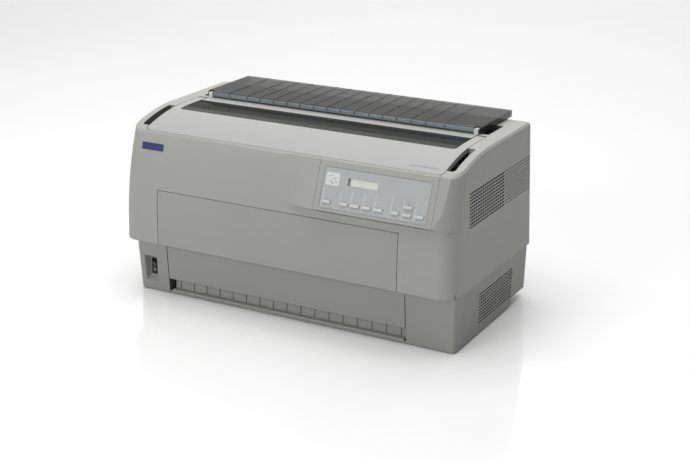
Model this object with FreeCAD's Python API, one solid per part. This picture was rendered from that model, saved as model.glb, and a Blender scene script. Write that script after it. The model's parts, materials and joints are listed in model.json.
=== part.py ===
import FreeCAD, Part
import math
import os

# Wide-carriage dot matrix printer, in millimetres. +Z is up and the front faces -Y.
# The origin is on the floor, under the middle of the outline.
# A drop is measured down from the top of the case, a margin in from its side.

# Upper case
case_width = 700.0
case_front = 184.0            # front face ahead of the origin
case_rear = 177.0             # rear face behind it
seam_height = 105.0           # where the upper case stands on the lower one
case_height = 343.0
case_wall = 3.0
side_taper = 8.0              # how far each side leans in at the top
rear_taper = 4.0
front_upright = 45.0          # plumb part of the front, above the seam
front_lean = 26.5             # how far the front's top edge leans back
front_drop = 26.5             # that edge below the flat top
crown_run = 138.0             # from that edge back to the flat top
front_corner_radius = 32.0
rear_corner_radius = 10.0
top_edge_bevel = 3.6
case_boss = 10.0              # moulded boss that holds a hinge pin
overrun = 5.0                 # how far a cutting tool passes a face
seam_gap = 1.0                # shown gap round a flap or cover
thin_gap = 0.4                # hidden gap between fitted mouldings
seat_gap = 0.2                # gap of a piece laid in its pocket
pin_clearance = 0.2           # radial, round a hinge pin
shaft_clearance = 0.05        # radial, round a fixed shaft
hole_sides = 8                # flat sides of a punched or moulded hole
flat_corner_share = 0.586     # of a radius: the flat that touches its arc midway

# Brow over the front, which carries the control panel
lip_drop = 110.5
lip_ahead = 5.4               # lip ahead of the plumb front
ledge_drop = 6.5              # foot of the undercut below the lip
brow_run = 79.0               # length over which the brow grows out of the front
brow_corner_radius = 46.0
brow_depth = 40.0
brow_growth_share = (0.0, 0.10, 0.5, 0.90, 1.0)

# Control panel insert
panel_left_margin = 274.0     # both of its margins are from the case's right side
panel_right_margin = 43.0
panel_wall = 3.0
sheet_left_margin = 11.7
sheet_right_margin = 11.6
sheet_foot = 5.9              # up the sloping face, from the lip
sheet_length = 72.7
sheet_thick = 0.8
sheet_sunk = 0.2
sheet_gap = 0.6
board_gap = 5.2               # behind the panel wall
board_thick = 1.6
board_margin = 8.0
post_width = 6.0
lcd_left = 60.6               # from the panel's left side
lcd_width = 58.3
lcd_foot = 50.8
lcd_height = 13.2
lcd_rim = 4.0
lcd_back = 2.5                # its face behind the panel wall

# Buttons: places along the panel, from its left side, and heights up its slope
button_width = 16.6
button_height = 5.8
button_proud = 2.4
button_travel = 1.5
button_flange = 1.2
button_flange_thick = 1.0
button_stem_width = 3.0
button_stem_gap = 0.3         # left between the stem and the board when pressed
button_bevel = 0.7
button_row = 17.1
button_upper_row = 30.1
button_places = (24.9, 59.6, 82.0, 104.4, 127.4, 159.1, 182.7, 206.4)
button_count_before_pair = 6  # the next one has a second button above it

# Badge plate on the front, left bare
badge_margin = 43.0
badge_width = 48.0
badge_height = 13.0
badge_drop = 51.5
badge_thick = 0.8
badge_sunk = 0.4

# Front flap
flap_left_margin = 84.0
flap_right_margin = 108.0
flap_drop = 130.0
flap_pin_back = 5.5           # hinge axis behind the front face
flap_pin_rise = 5.0           # and above the seam
flap_pin_radius = 2.0
flap_pin_length = 6.0
flap_ear = 10.0
flap_ear_reach = 4.0
sill_depth = 5.0              # bar of the case behind the flap's foot

# Printer cover: a plate with an arm at each rear corner, and the window between them
cover_margin = 41.0
cover_setback = 6.5           # its front edge behind the case's top front edge
cover_length = 181.0          # to the rear end of its arms
cover_corner_radius = 10.0
cover_skirt = 9.0
cover_arm = 17.0
cover_pin_back = 6.0          # hinge axis ahead of the arms' rear end
cover_pin_drop = 12.0
cover_pin_radius = 3.0
cover_pin_length = 6.0
cover_ear = 9.0
window_length = 67.0
window_setback = 25.0         # its rear edge ahead of the arms' rear end
window_corner_radius = 8.0
window_sunk = 0.5
window_thick = 2.5
window_gap = 0.3
window_dip = 1.3              # how far its flat rear part slopes down
window_notch_pitch = 128.0
window_notch_width = 6.0
window_notch_depth = 2.5

# Finger recesses beside the covers
recess_width = 15.0
recess_front = 13.0           # behind the cover's front edge
recess_length = 90.0
recess_depth = 19.0
recess_wall = 2.5
recess_corner = 4.0
slot_width = 14.0
slot_length = 70.0
slot_depth = 15.0

# Paper exit slot, bridge of the case behind it and rear cover
exit_slot = 7.0
bridge_depth = 35.0
bridge_flange = 10.0
bridge_gap = 2.0              # between the bridge's end and the cover's arm
rear_hole_margin = 67.0
rear_hole_length = 112.0
rear_cover_margin = 56.0
rear_cover_lap = 9.0          # its front edge ahead of the rear hole
rear_cover_reach = 14.0       # its rear edge behind the case
rear_cover_rise = 13.0        # above the flat top
rear_cover_wall = 2.5
rear_cover_lift = 0.3
rear_cover_front_bevel = 2.0
rear_cover_swing_steps = 3    # flats of its cut-back front foot
rear_cover_side_setback = 6.0
rib_width = 1.2
rib_proud = 0.7
rib_pitch = 29.7
rib_first_margin = 94.0       # evenly spaced ribs, from the cover's left end
rib_last_margin = 104.0       # and from its right end
rib_outer_left_margin = 52.0
rib_outer_right_margin = 69.5
fin_depth = 8.0
fin_end = 11.0                # fins end ahead of the cover's rear edge
bracket_width = 8.0
bracket_length = 10.0
bracket_height = 10.0
bracket_gap = 1.0
bracket_pin_radius = 2.0
bracket_pin_rise = 5.5
bracket_throat_share = 0.75   # of the pin radius: half the mouth it snaps in through

# Vents in the right side: upright slots behind level slats
vent_pitch_y = 9.8
vent_pitch_z = 6.1
vent_hole_y = 6.4
vent_hole_z = 3.6
vent_columns = 16
vent_slat_thick = 1.2
upper_vent_front = -114.0
upper_vent_rows = 11
upper_vent_drop = 126.0
lower_vent_front = -64.0
lower_vent_rows = 10
lower_vent_foot = 22.0
groove_height = 2.0
groove_end = 13.0             # grooves end ahead of the rear face
louvre_rows = 8
louvre_length = 60.0
louvre_height = 3.0
louvre_pitch = 7.5

# Lower case
base_left_inset = 24.0
base_right_inset = 1.0
base_front_inset = 13.0
base_rear_inset = 13.0
base_front_draft = 8.0
base_side_draft = 2.0
base_rear_draft = 3.0
base_corner_radius = 6.0
base_wall = 3.0
foot_height = 2.0
foot_width = 24.0
foot_length = 14.0
foot_margin = 26.0
step_length = 77.0            # raised rear part of the underside
step_rise = 16.5
mouth_left_margin = 93.0
mouth_right_margin = 98.0
cheek_depth = 62.0
board_post = 10.0

# Lower front cover
lower_cover_gap = 1.5
lower_cover_foot = 31.5
lower_cover_drop = 2.0        # its top edge below the seam
lower_pin_drop = 8.5          # hinge axis below the seam
lower_pin_radius = 2.0
lower_pin_length = 4.5
lower_ear = 8.0
lower_ear_reach = 4.0

# Ribbed paper guide in the entry
guide_ledge = 12.0
guide_ledge_thick = 3.0
guide_setback = 13.0          # guide face behind the base's foot edge
guide_upright = 24.0
guide_lean = 3.0
guide_arc_radius = 60.0
guide_arc_angle = 60.0        # degrees
guide_thick = 2.5
guide_margin = 5.0
guide_rib_pitch = 29.7
guide_rib_width = 1.2
guide_rib_proud = 1.8

# Power switch and its recess in the lower case
switch_margin = 39.0
switch_width = 29.0
switch_foot = 16.0
switch_height = 55.0
switch_recess_depth = 12.0
switch_slope = 5.0
switch_sill = 12.0
switch_edge = 5.0
switch_wall = 3.0
rocker_width = 8.4
rocker_height = 27.0
switch_rim = 2.8
switch_bezel = 1.2
switch_depth = 22.0
rocker_pivot_depth = 6.0
rocker_gap = 0.4
rocker_tilt = 8.0             # degrees, at rest
rocker_pin_radius = 1.2
rocker_pin_length = 1.2

# Mechanism: frames and plate
chassis_height = 24.0
chassis_thick = 2.0
chassis_front = 102.0
frame_side_margin = 50.0
frame_thick = 3.0
frame_front = 142.0
frame_rear = 150.0
frame_drop = 27.0
frame_toe = 102.5             # height of its lower front corner
frame_shoulder_drop = 138.0
frame_shoulder_front = 132.0
frame_nose_foot_drop = 107.0
frame_nose_drop = 58.0
frame_brow_drop = 53.0
frame_top_length = 54.0       # level top edge, behind the platen's axis
frame_rear_drop = 99.0
frame_tab_reach = 17.5
bracket_thick = 3.0

# Mechanism: platen, carriage, head and ribbon
platen_y = 10.0
platen_drop = 68.0
platen_radius = 18.0
platen_margin = 13.0
platen_shaft_radius = 6.0
shaft_sides = 12
gear_module = 3.0
platen_teeth = 24
pinion_teeth = 10
gear_tip_share = 0.9          # of the module, above the pitch circle
gear_root_share = 1.15        # and below it
tooth_root_share = 1.4         # half width of a tooth at its root, of that at the pitch circle
tooth_tip_share = 0.42
gear_width = 8.0
gear_gap = 2.0
gear_backlash = 0.5
pinion_angle = -60.0          # degrees, from the platen to the feed motor
feed_motor_radius = 21.0
feed_motor_length = 45.0
feed_motor_shaft = 22.0       # length of the shaft inside the motor
motor_shaft_radius = 3.0
motor_shaft_hole = 6.0
carriage_half = 38.0
carriage_front = 92.0
carriage_rear = 22.0
carriage_height = 26.0
carriage_bevel = 4.0
carriage_drop = 111.0
front_shaft_y = -78.0
front_shaft_radius = 8.0
rear_shaft_y = -36.0
rear_shaft_radius = 6.0
slide_clearance = 0.3
head_half = 24.0
head_front = 64.0
head_height = 26.0
head_gap = 1.0                # head tip ahead of the ribbon
head_seat = 4.0               # its saddle's rear end ahead of the carriage's
ribbon_thick = 0.5
ribbon_height = 14.0
ribbon_gap = 2.8              # ribbon ahead of the platen, with the paper between
nose_half = 6.0
nose_length = 6.0
fin_thick = 2.0
fin_count = 6
cartridge_front = 146.0
cartridge_rear = 104.0
cartridge_drop = 81.0         # underside of the cartridge
cartridge_height = 26.0
cartridge_margin = 9.0
arm_margin = 45.0             # outer face of an arm, from the frame's outer face
arm_width = 19.0
arm_inset = 4.0
knob_radius = 11.0
knob_height = 9.0
knob_margin = 60.0            # from the left frame's outer face
knob_y = -125.0
knob_sides = 14
knob_stem_radius = 3.0
knob_stem = 6.0

# Mechanism: carriage drive
pulley_margin = 38.0          # pulley axis from the frame's outer face
pulley_y = -57.0
pulley_radius = 12.0
pulley_teeth = 14
pulley_flange = 2.5
pulley_rim = 2.0
belt_thick = 1.5
belt_height = 8.0
belt_drop = 124.0
belt_gap = 0.3
carriage_motor_radius = 24.0
carriage_motor_height = 58.0
carriage_motor_shaft = 29.0   # length of the shaft inside the motor
clamp_half = 12.0
clamp_wall = 4.0

# Mechanism: front tractors
tractor_y = -112.0
tractor_shaft_drop = 165.0
tractor_rail_drop = 197.0
tractor_shaft_side = 10.0
tractor_journal_radius = 4.9
tractor_rail_radius = 5.0
tractor_radius = 17.0
tractor_width = 24.0
tractor_share = 0.5           # rest place between the middle and the frame
tractor_band_width = 9.0
tractor_band = 1.2
tractor_pin_radius = 1.9
tractor_pin_height = 2.4
tractor_pin_pitch = 12.7
tractor_pin_count = 3
tractor_cover_gap = 0.5
tractor_cover_thick = 2.2
tractor_cover_height = 56.0
tractor_lug = 5.0
tractor_lug_radius = 3.2
tractor_lug_pitch = 15.0
tractor_hinge_radius = 1.5
tractor_hinge_out = 4.0
lever_radius = 8.5
lever_width = 5.0
lever_length = 26.0
lever_thick = 4.0
lever_gap = 0.5
lever_angle = 40.0            # degrees below level, locked
feed_pulley_radius = 16.0
feed_pulley_teeth = 16
feed_pulley_width = 9.0
feed_pulley_gap = 2.0

# Fan, boards and rear connectors
fan_size = 70.0
fan_depth = 25.0
fan_bore_radius = 32.0
fan_bore_sides = 20
fan_y = 100.0
fan_height_share = 0.357      # of the upper case's height, above the seam
fan_hub_radius = 15.0
fan_hub_sides = 14
fan_blade_count = 7
fan_blade_thick = 1.5
fan_blade_angle = 35.0
fan_tip_gap = 2.0
fan_blade_root = 2.0          # a blade's root inside the hub
fan_blade_inset = 1.0
fan_arm = 4.0
fan_side = 3.0                # rotor's face inside the housing's
board_lift = 8.0
board_side_margin = 20.0      # from the frames' outer faces
board_space = 25.0            # between the two boards
supply_width = 170.0
main_board_front = 0.0
main_board_depth = 135.0
chip_side = 32.0
chip_height = 3.0
chip_places_share = ((0.2, 0.5), (0.45, 0.45), (0.7, 0.55))
connector_span_share = (0.25, 0.75)
connector_depth = 8.0
connector_height = 8.0
supply_margin = 16.0          # of the parts on the supply board, from its edges
transformer_side = 52.0
transformer_setback = 32.0
capacitor_radius = 8.0
capacitor_height = 32.0
capacitor_margin = 24.0
capacitor_pitch = 21.0
capacitor_count = 3
capacitor_sides = 8
heat_sink_thick = 3.0
heat_sink_length = 79.0
heat_sink_height = 32.0
inlet_margin = 86.0
inlet_z = 50.0
inlet_width = 30.0
inlet_height = 24.0
inlet_depth = 22.0
inlet_rim = 3.0
inlet_bezel = 1.5
inlet_pin_width = 2.0
inlet_pin_height = 4.0
inlet_pin_pitch = 7.0
inlet_pin_back = 3.0
ports_margin = 160.0
ports_z = 54.0
ports_width = 120.0
ports_height = 34.0
ports_depth = 18.0
ports_plate = 1.5
ports_rim = 4.0
socket_width = 52.0
socket_height = 12.5
socket_depth = 8.0
socket_shell = 5.0
small_socket = 12.0
small_socket_margin = 12.0    # from the plate's right edge


def vec(x, y, z):
    return FreeCAD.Vector(x, y, z)


X_AXIS = vec(1, 0, 0)
Y_AXIS = vec(0, 1, 0)
Z_AXIS = vec(0, 0, 1)
ORIGIN = vec(0, 0, 0)

# Places worked out from the sizes above
half_width = case_width / 2
lean_start = seam_height + front_upright
front_edge_z = case_height - front_drop
front_edge_y = -case_front + front_lean
front_rise = front_edge_z - lean_start
lean_radius = (front_rise ** 2 + front_lean ** 2) / (2 * front_lean)
crown_radius = (crown_run ** 2 + front_drop ** 2) / (2 * front_drop)
crown_end_y = front_edge_y + crown_run
side_slope = side_taper / (case_height - seam_height)
lip_y = -case_front - lip_ahead
lip_height = case_height - lip_drop
brow_angle = math.degrees(math.atan2(front_edge_y - lip_y, front_edge_z - lip_height))
brow_slope = math.tan(math.radians(brow_angle))
ledge_z = lip_height - ledge_drop
panel_left = half_width - panel_left_margin
panel_right = half_width - panel_right_margin
brow_left = panel_left - brow_run
badge_left = -half_width + badge_margin
badge_middle = case_height - badge_drop
flap_left = -half_width + flap_left_margin
flap_right = half_width - flap_right_margin
flap_top = case_height - flap_drop
base_left = -half_width + base_left_inset
base_right = half_width - base_right_inset
base_front = -case_front + base_front_inset
base_rear = case_rear - base_rear_inset
base_floor = foot_height + base_wall
base_height = seam_height - foot_height
step_y = base_rear - step_length
step_floor = foot_height + step_rise + base_wall
mouth_left = -half_width + mouth_left_margin
mouth_right = half_width - mouth_right_margin
switch_left = -half_width + switch_margin
cover_front_y = front_edge_y + cover_setback
cover_rear_y = cover_front_y + cover_length
cover_half = half_width - cover_margin
cover_pin_y = cover_rear_y - cover_pin_back
cover_pin_z = case_height - cover_pin_drop
cover_swing = math.sqrt(cover_pin_back ** 2 + cover_pin_drop ** 2 - (cover_pin_drop - case_wall) ** 2)
window_half = cover_half - cover_arm
window_rear_y = cover_rear_y - window_setback
window_front_y = window_rear_y - window_length
bridge_half = window_half - bridge_gap
bridge_y = window_rear_y + exit_slot
rear_hole_y = bridge_y + bridge_depth
rear_hole_half = half_width - rear_hole_margin
rear_cover_half = half_width - rear_cover_margin
rear_cover_front = rear_hole_y - rear_cover_lap
rear_cover_rear = case_rear + rear_cover_reach
rear_cover_foot = case_height + rear_cover_lift
rear_cover_top = case_height + rear_cover_rise
bracket_outer = rear_cover_half - rear_cover_wall - bracket_gap
bracket_inner = bracket_outer - bracket_width
bracket_pin_y = rear_cover_front + bracket_length / 2
bracket_pin_z = case_height + bracket_pin_rise
flap_pin_y = -case_front + flap_pin_back
flap_pin_z = seam_height + flap_pin_rise
upper_vent_foot = case_height - upper_vent_drop
frame_half_span = half_width - frame_side_margin
frame_inner = frame_half_span - frame_thick
chassis_top = chassis_height + chassis_thick
platen_z = case_height - platen_drop
carriage_z = case_height - carriage_drop
cartridge_foot = case_height - cartridge_drop
belt_z = case_height - belt_drop
fan_z = seam_height + (case_height - seam_height) * fan_height_share
shaft_z = carriage_z + carriage_height / 2
tractor_shaft_z = case_height - tractor_shaft_drop
tractor_rail_z = case_height - tractor_rail_drop
tractor_x = frame_half_span * tractor_share
tractor_middle_z = (tractor_shaft_z + tractor_rail_z) / 2
pulley_x = frame_half_span - pulley_margin
pulley_pitch_radius = pulley_radius + belt_thick / 2
arm_outer = frame_half_span - arm_margin
knob_x = knob_margin - frame_half_span
ribbon_y = platen_y - platen_radius - ribbon_gap
head_tip_y = ribbon_y - ribbon_thick - head_gap
gear_x = frame_half_span + gear_gap
feed_pulley_x = gear_x + gear_width + feed_pulley_gap
gear_span = gear_module * (platen_teeth + pinion_teeth) / 2
pinion_y = platen_y + gear_span * math.cos(math.radians(pinion_angle))
pinion_z = platen_z + gear_span * math.sin(math.radians(pinion_angle))
main_board_left = board_side_margin - frame_half_span
supply_left = frame_half_span - board_side_margin - supply_width
main_board_right = supply_left - board_space
inlet_x = half_width - inlet_margin
ports_x = ports_margin - half_width
rib_count = int((2 * rear_cover_half - rib_first_margin - rib_last_margin) // rib_pitch) + 1
rib_places = [rib_first_margin - rear_cover_half + rib_pitch * k for k in range(rib_count)]
rib_places += [rib_outer_left_margin - rear_cover_half, rear_cover_half - rib_outer_right_margin]
guide_span = mouth_right - mouth_left - 2 * guide_margin
guide_rib_count = int((guide_span - guide_rib_width) // guide_rib_pitch) + 1


def box(x0, x1, y0, y1, z0, z1):
    return Part.makeBox(x1 - x0, y1 - y0, z1 - z0, vec(x0, y0, z0))


def rod_x(x0, x1, y, z, radius):
    return Part.makeCylinder(radius, x1 - x0, vec(x0, y, z), X_AXIS)


def rod_z(x, y, z0, z1, radius):
    return Part.makeCylinder(radius, z1 - z0, vec(x, y, z0), Z_AXIS)


# Closed outline of (y, z) points, drawn from x0 to x1
def prism_x(points, x0, x1):
    corners = [vec(x0, y, z) for y, z in points]
    return Part.Face(Part.makePolygon(corners + corners[:1])).extrude(vec(x1 - x0, 0, 0))


# Closed outline of (x, z) points, drawn from y0 to y1
def prism_y(points, y0, y1):
    corners = [vec(x, y0, z) for x, z in points]
    return Part.Face(Part.makePolygon(corners + corners[:1])).extrude(vec(0, y1 - y0, 0))


# Closed outline of (x, y) points, drawn from z0 to z1
def prism_z(points, z0, z1):
    corners = [vec(x, y, z0) for x, y in points]
    return Part.Face(Part.makePolygon(corners + corners[:1])).extrude(vec(0, 0, z1 - z0))


# Prism with flat sides about the X or Z axis; its corners lie on the radius
def polygon_x(x0, x1, y, z, radius, sides):
    steps = [2 * math.pi * (k + 0.5) / sides for k in range(sides)]
    return prism_x([(y + radius * math.cos(a), z + radius * math.sin(a)) for a in steps], x0, x1)


def polygon_z(x, y, z0, z1, radius, sides):
    steps = [2 * math.pi * (k + 0.5) / sides for k in range(sides)]
    return prism_z([(x + radius * math.cos(a), y + radius * math.sin(a)) for a in steps], z0, z1)


# Punched or moulded hole whose flat sides touch the radius
def hole_x(x0, x1, y, z, radius):
    return polygon_x(x0, x1, y, z, radius / math.cos(math.pi / hole_sides), hole_sides)


def hole_z(x, y, z0, z1, radius):
    return polygon_z(x, y, z0, z1, radius / math.cos(math.pi / hole_sides), hole_sides)


# Outline of a loop round two equal circles, each half turned in a number of steps
def loop_outline(y0, z0, y1, z1, radius, steps):
    heading = math.atan2(z1 - z0, y1 - y0)
    points = []
    for y, z, start in ((y0, z0, heading + math.pi / 2), (y1, z1, heading - math.pi / 2)):
        for k in range(steps + 1):
            angle = start + math.pi * k / steps
            points.append((y + radius * math.cos(angle), z + radius * math.sin(angle)))
    return points


# Box whose upright edges are rounded
def round_box(x0, x1, y0, y1, z0, z1, radius):
    block = box(x0, x1, y0, y1, z0, z1)
    return block.makeFillet(radius, [e for e in block.Edges if upright(e, z1 - z0)])


def upright(edge, height):
    bound = edge.BoundBox
    return bound.ZLength > height / 2 and bound.XLength + bound.YLength < height / 2


def fuse(pieces):
    if len(pieces) == 1:
        return pieces[0]
    return pieces[0].fuse(pieces[1:]).removeSplitter()


def cut(shape, tools):
    return shape.cut(Part.makeCompound(tools))


def mirror(shape):
    return shape.mirror(ORIGIN, X_AXIS)


# Two circles in the YZ plane meet at two points; the upper one is the edge wanted
def upper_meeting(y1, z1, r1, y2, z2, r2):
    span = math.hypot(y2 - y1, z2 - z1)
    along = (span ** 2 + r1 ** 2 - r2 ** 2) / (2 * span)
    rise = math.sqrt(r1 ** 2 - along ** 2)
    step_y_part = (y2 - y1) / span
    step_z_part = (z2 - z1) / span
    first = (y1 + along * step_y_part - rise * step_z_part, z1 + along * step_z_part + rise * step_y_part)
    second = (y1 + along * step_y_part + rise * step_z_part, z1 + along * step_z_part - rise * step_y_part)
    return max(first, second, key=lambda point: point[1])


# Solid outer form of the upper case, offset inwards by inset and moved forward by ahead.
# Its side outline (front lean arc, crown arc) is cut by its front outline (leaning sides).
# The hidden inner form has flat corners, each touching the arc that keeps the wall even.
def case_form(inset, ahead, corner_radius, floor):
    front_y = -case_front - ahead
    lean_y = front_y + lean_radius
    crown_y = front_y + front_lean + crown_run
    crown_z = case_height - crown_radius
    lean_r = lean_radius - inset
    crown_r = crown_radius - inset
    edge_y, edge_z = upper_meeting(lean_y, lean_start, lean_r, crown_y, crown_z, crown_r)

    def point(y, z):
        return vec(-half_width - side_taper, y, z)

    def on_arc(centre_y, centre_z, radius, y, z):
        reach = math.hypot(y - centre_y, z - centre_z)
        return point(centre_y + (y - centre_y) * radius / reach, centre_z + (z - centre_z) * radius / reach)

    foot = point(front_y + inset, floor)
    shoulder = point(front_y + inset, lean_start)
    edge = point(edge_y, edge_z)
    crown = point(crown_y, case_height - inset)
    rear = point(case_rear - rear_taper - inset, case_height - inset)
    rear_slope = rear_taper / (case_height - seam_height)
    rear_foot = point(case_rear - inset - rear_slope * (floor - seam_height), floor)
    lean_middle = on_arc(lean_y, lean_start, lean_r, (shoulder.y + edge.y) / 2, (shoulder.z + edge.z) / 2)
    crown_middle = on_arc(crown_y, crown_z, crown_r, (edge.y + crown.y) / 2, (edge.z + crown.z) / 2)
    outline = Part.Wire([
        Part.makeLine(foot, shoulder),
        Part.Arc(shoulder, lean_middle, edge).toShape(),
        Part.Arc(edge, crown_middle, crown).toShape(),
        Part.makeLine(crown, rear),
        Part.makeLine(rear, rear_foot),
        Part.makeLine(rear_foot, foot),
    ])
    form = Part.Face(outline).extrude(vec(case_width + 2 * side_taper, 0, 0))
    top = case_height + overrun
    foot_half = half_width - inset - side_slope * (floor - seam_height)
    top_half = half_width - inset - side_slope * (top - seam_height)
    sides = [(-foot_half, floor), (foot_half, floor), (top_half, top), (-top_half, top)]
    form = form.common(prism_y(sides, front_y - overrun, case_rear + overrun))
    limit = edge_y + case_wall / 2
    corners = [e for e in form.Edges if e.BoundBox.ZLength > front_upright / 2 and e.BoundBox.YMax < limit]
    if inset:
        return form.makeChamfer((corner_radius - inset) * flat_corner_share, corners).Solids[0]
    form = form.makeFillet(corner_radius, corners)
    corners = [e for e in form.Edges if e.BoundBox.ZLength > front_upright and e.BoundBox.YMin > 0]
    form = form.makeFillet(rear_corner_radius, corners)
    rim = [e for e in form.Edges if e.BoundBox.ZMin > edge_z - case_wall]
    return form.makeChamfer(top_edge_bevel, rim).Solids[0]


def front_surface_y(z):
    if z < lean_start:
        return -case_front
    return -case_front + lean_radius - math.sqrt(lean_radius ** 2 - (z - lean_start) ** 2)


def crown_surface_z(y):
    behind = front_edge_y + crown_run - y
    if behind < 0:
        return case_height
    return case_height - crown_radius + math.sqrt(crown_radius ** 2 - behind ** 2)


# The brow grows out of the front through a smooth loft, runs straight behind the
# panel and turns the right-hand corner with a larger radius
def brow():
    inner_y = front_edge_y + brow_depth / 2
    plain_y = front_surface_y(lip_height)

    def section(x, share):
        out_y = plain_y + (lip_y - plain_y) * share
        points = [(front_edge_y, front_edge_z), (out_y, lip_height),
                  (front_surface_y(ledge_z), ledge_z), (inner_y, ledge_z), (inner_y, front_edge_z)]
        corners = [vec(x, y, z) for y, z in points]
        return Part.makePolygon(corners + corners[:1])

    run = panel_left - brow_left
    steps = len(brow_growth_share) - 1
    rings = [section(brow_left + run * k / steps, share) for k, share in enumerate(brow_growth_share)]
    growth = Part.makeLoft(rings, True, False)
    straight = Part.Face(section(panel_left, 1.0)).extrude(vec(half_width + overrun - panel_left, 0, 0))
    ahead = plain_y - lip_y
    envelope = case_form(0.0, ahead, brow_corner_radius, seam_height)
    return growth, straight.common(envelope)


# Piece modelled on an upright plane facing -Y, then leaned back by an angle and set in place
def lean_back(shape, angle, y, z):
    shape.rotate(ORIGIN, X_AXIS, -angle)
    shape.translate(vec(0, y, z))
    return shape


def on_panel(shape):
    return lean_back(shape, brow_angle, lip_y, lip_height)


# Box on the panel: across, up the slope and out of its face
def panel_box(x0, x1, up0, up1, out0, out1):
    return box(x0, x1, -out1, -out0, up0, up1)


def button_centres():
    centres = [(panel_left + place, button_row) for place in button_places]
    upper = (panel_left + button_places[button_count_before_pair], button_upper_row)
    centres.insert(button_count_before_pair, upper)
    return centres


OUTER = case_form(0.0, 0.0, front_corner_radius, seam_height)
INNER = case_form(case_wall, 0.0, front_corner_radius, seam_height + case_wall)
BROW = brow()
FACED = OUTER.fuse([BROW[0], BROW[1]])


# Outer face of the right side at a height, on the upper and on the lower case
def upper_side_x(z):
    return half_width - side_slope * (z - seam_height)


def base_side_x(z):
    return base_right - base_side_draft * (1 - (z - foot_height) / base_height)


# Band along the leaning side, from a depth inside its face to a distance outside it
def side_band(side_x, y0, y1, z0, z1, depth, out):
    return prism_y([(side_x(z0) - depth, z0), (side_x(z0) + out, z0),
                    (side_x(z1) + out, z1), (side_x(z1) - depth, z1)], y0, y1)


def vent_ends(front, foot, rows):
    rear = front + (vent_columns - 1) * vent_pitch_y + vent_hole_y
    top = foot + (rows - 1) * vent_pitch_z + vent_hole_z
    return rear, top


# Shallow bed of a vent and the upright slots through its floor
def vent_cuts(side_x, front, foot, rows, wall):
    rear, top = vent_ends(front, foot, rows)
    cuts = [side_band(side_x, front, rear, foot, top, vent_slat_thick, overrun)]
    for column in range(vent_columns):
        y = front + column * vent_pitch_y
        cuts.append(side_band(side_x, y, y + vent_hole_y, foot, top, wall + overrun, overrun))
    return cuts


# Level slats laid across the slots, flush with the side
def vent_rows(side_x, front, foot, rows):
    rear = vent_ends(front, foot, rows)[0]
    slats = []
    for row in range(1, rows):
        z = foot + row * vent_pitch_z
        slats.append(side_band(side_x, front, rear, z - vent_pitch_z + vent_hole_z, z, vent_slat_thick, 0))
    return slats


def vent_slats():
    return Part.makeCompound(vent_rows(upper_side_x, upper_vent_front, upper_vent_foot, upper_vent_rows)
                             + vent_rows(base_side_x, lower_vent_front, lower_vent_foot, lower_vent_rows))


# Grooves that carry each vent row on to the rear edge
def vent_grooves():
    start = upper_vent_front + vent_columns * vent_pitch_y
    middle = (vent_hole_z - groove_height) / 2
    tools = []
    for row in range(upper_vent_rows):
        z = upper_vent_foot + row * vent_pitch_z + middle
        tools.append(side_band(upper_side_x, start, case_rear - groove_end, z, z + groove_height,
                               vent_slat_thick, overrun))
    return tools


# Tub of a finger recess, open towards the cover: outer block and hollow
def recess_parts():
    x0 = cover_half + seam_gap
    x1 = x0 + recess_width
    y0 = cover_front_y + recess_front
    y1 = y0 + recess_length
    floor0 = crown_surface_z(y0) - recess_depth
    floor1 = crown_surface_z(y1) - recess_depth
    wall = recess_wall
    block = prism_x([(y0 - wall, floor0 - wall), (y1 + wall, floor1 - wall),
                     (y1 + wall, case_height), (y0 - wall, case_height)], x0, x1 + wall)
    top = case_height + overrun
    hollow = prism_x([(y0, floor0), (y1, floor1), (y1, top), (y0, top)], x0 - overrun, x1)
    corner = recess_corner
    plan = prism_z([(x0 - overrun, y0), (x1 - corner, y0), (x1, y0 + corner), (x1, y1 - corner),
                    (x1 - corner, y1), (x0 - overrun, y1)], floor0 - overrun, top)
    return block, hollow.common(plan)


def slot_parts():
    x0 = rear_hole_half
    x1 = rear_cover_half + slot_width
    y1 = rear_hole_y + slot_length
    floor = case_height - slot_depth
    wall = recess_wall
    block = box(x0, x1 + wall, rear_hole_y - wall, y1 + wall, floor - wall, case_height - case_wall / 2)
    hollow = box(x0 - overrun, x1, rear_hole_y, y1, floor, case_height + overrun)
    return block, hollow


def cover_boss():
    x0 = cover_half + seam_gap
    reach = case_boss / 2 + cover_pin_radius
    block = box(x0, x0 + case_boss, cover_pin_y - reach, cover_pin_y + reach,
                cover_pin_z - reach, case_height - case_wall / 2)
    hole = hole_x(x0 - overrun, x0 + cover_pin_length + thin_gap, cover_pin_y, cover_pin_z,
                  cover_pin_radius + pin_clearance)
    return block, hole


def flap_boss(x0, x1, mouth):
    reach = case_boss / 2
    block = box(x0, x1, -case_front + case_wall / 2, flap_pin_y + reach, seam_height, flap_pin_z + reach)
    depth = flap_pin_length + seam_gap
    start = mouth - overrun if mouth < (x0 + x1) / 2 else mouth - depth
    hole = hole_x(start, start + depth + overrun, flap_pin_y, flap_pin_z, flap_pin_radius + pin_clearance)
    return block, hole


def badge_box(grow, depth):
    block = box(badge_left - grow, badge_left + badge_width + grow, -depth, badge_sunk,
                -badge_height / 2 - grow, badge_height / 2 + grow)
    lean = math.degrees(math.asin((badge_middle - lean_start) / lean_radius))
    return lean_back(block, lean, front_surface_y(badge_middle), badge_middle)


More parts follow.
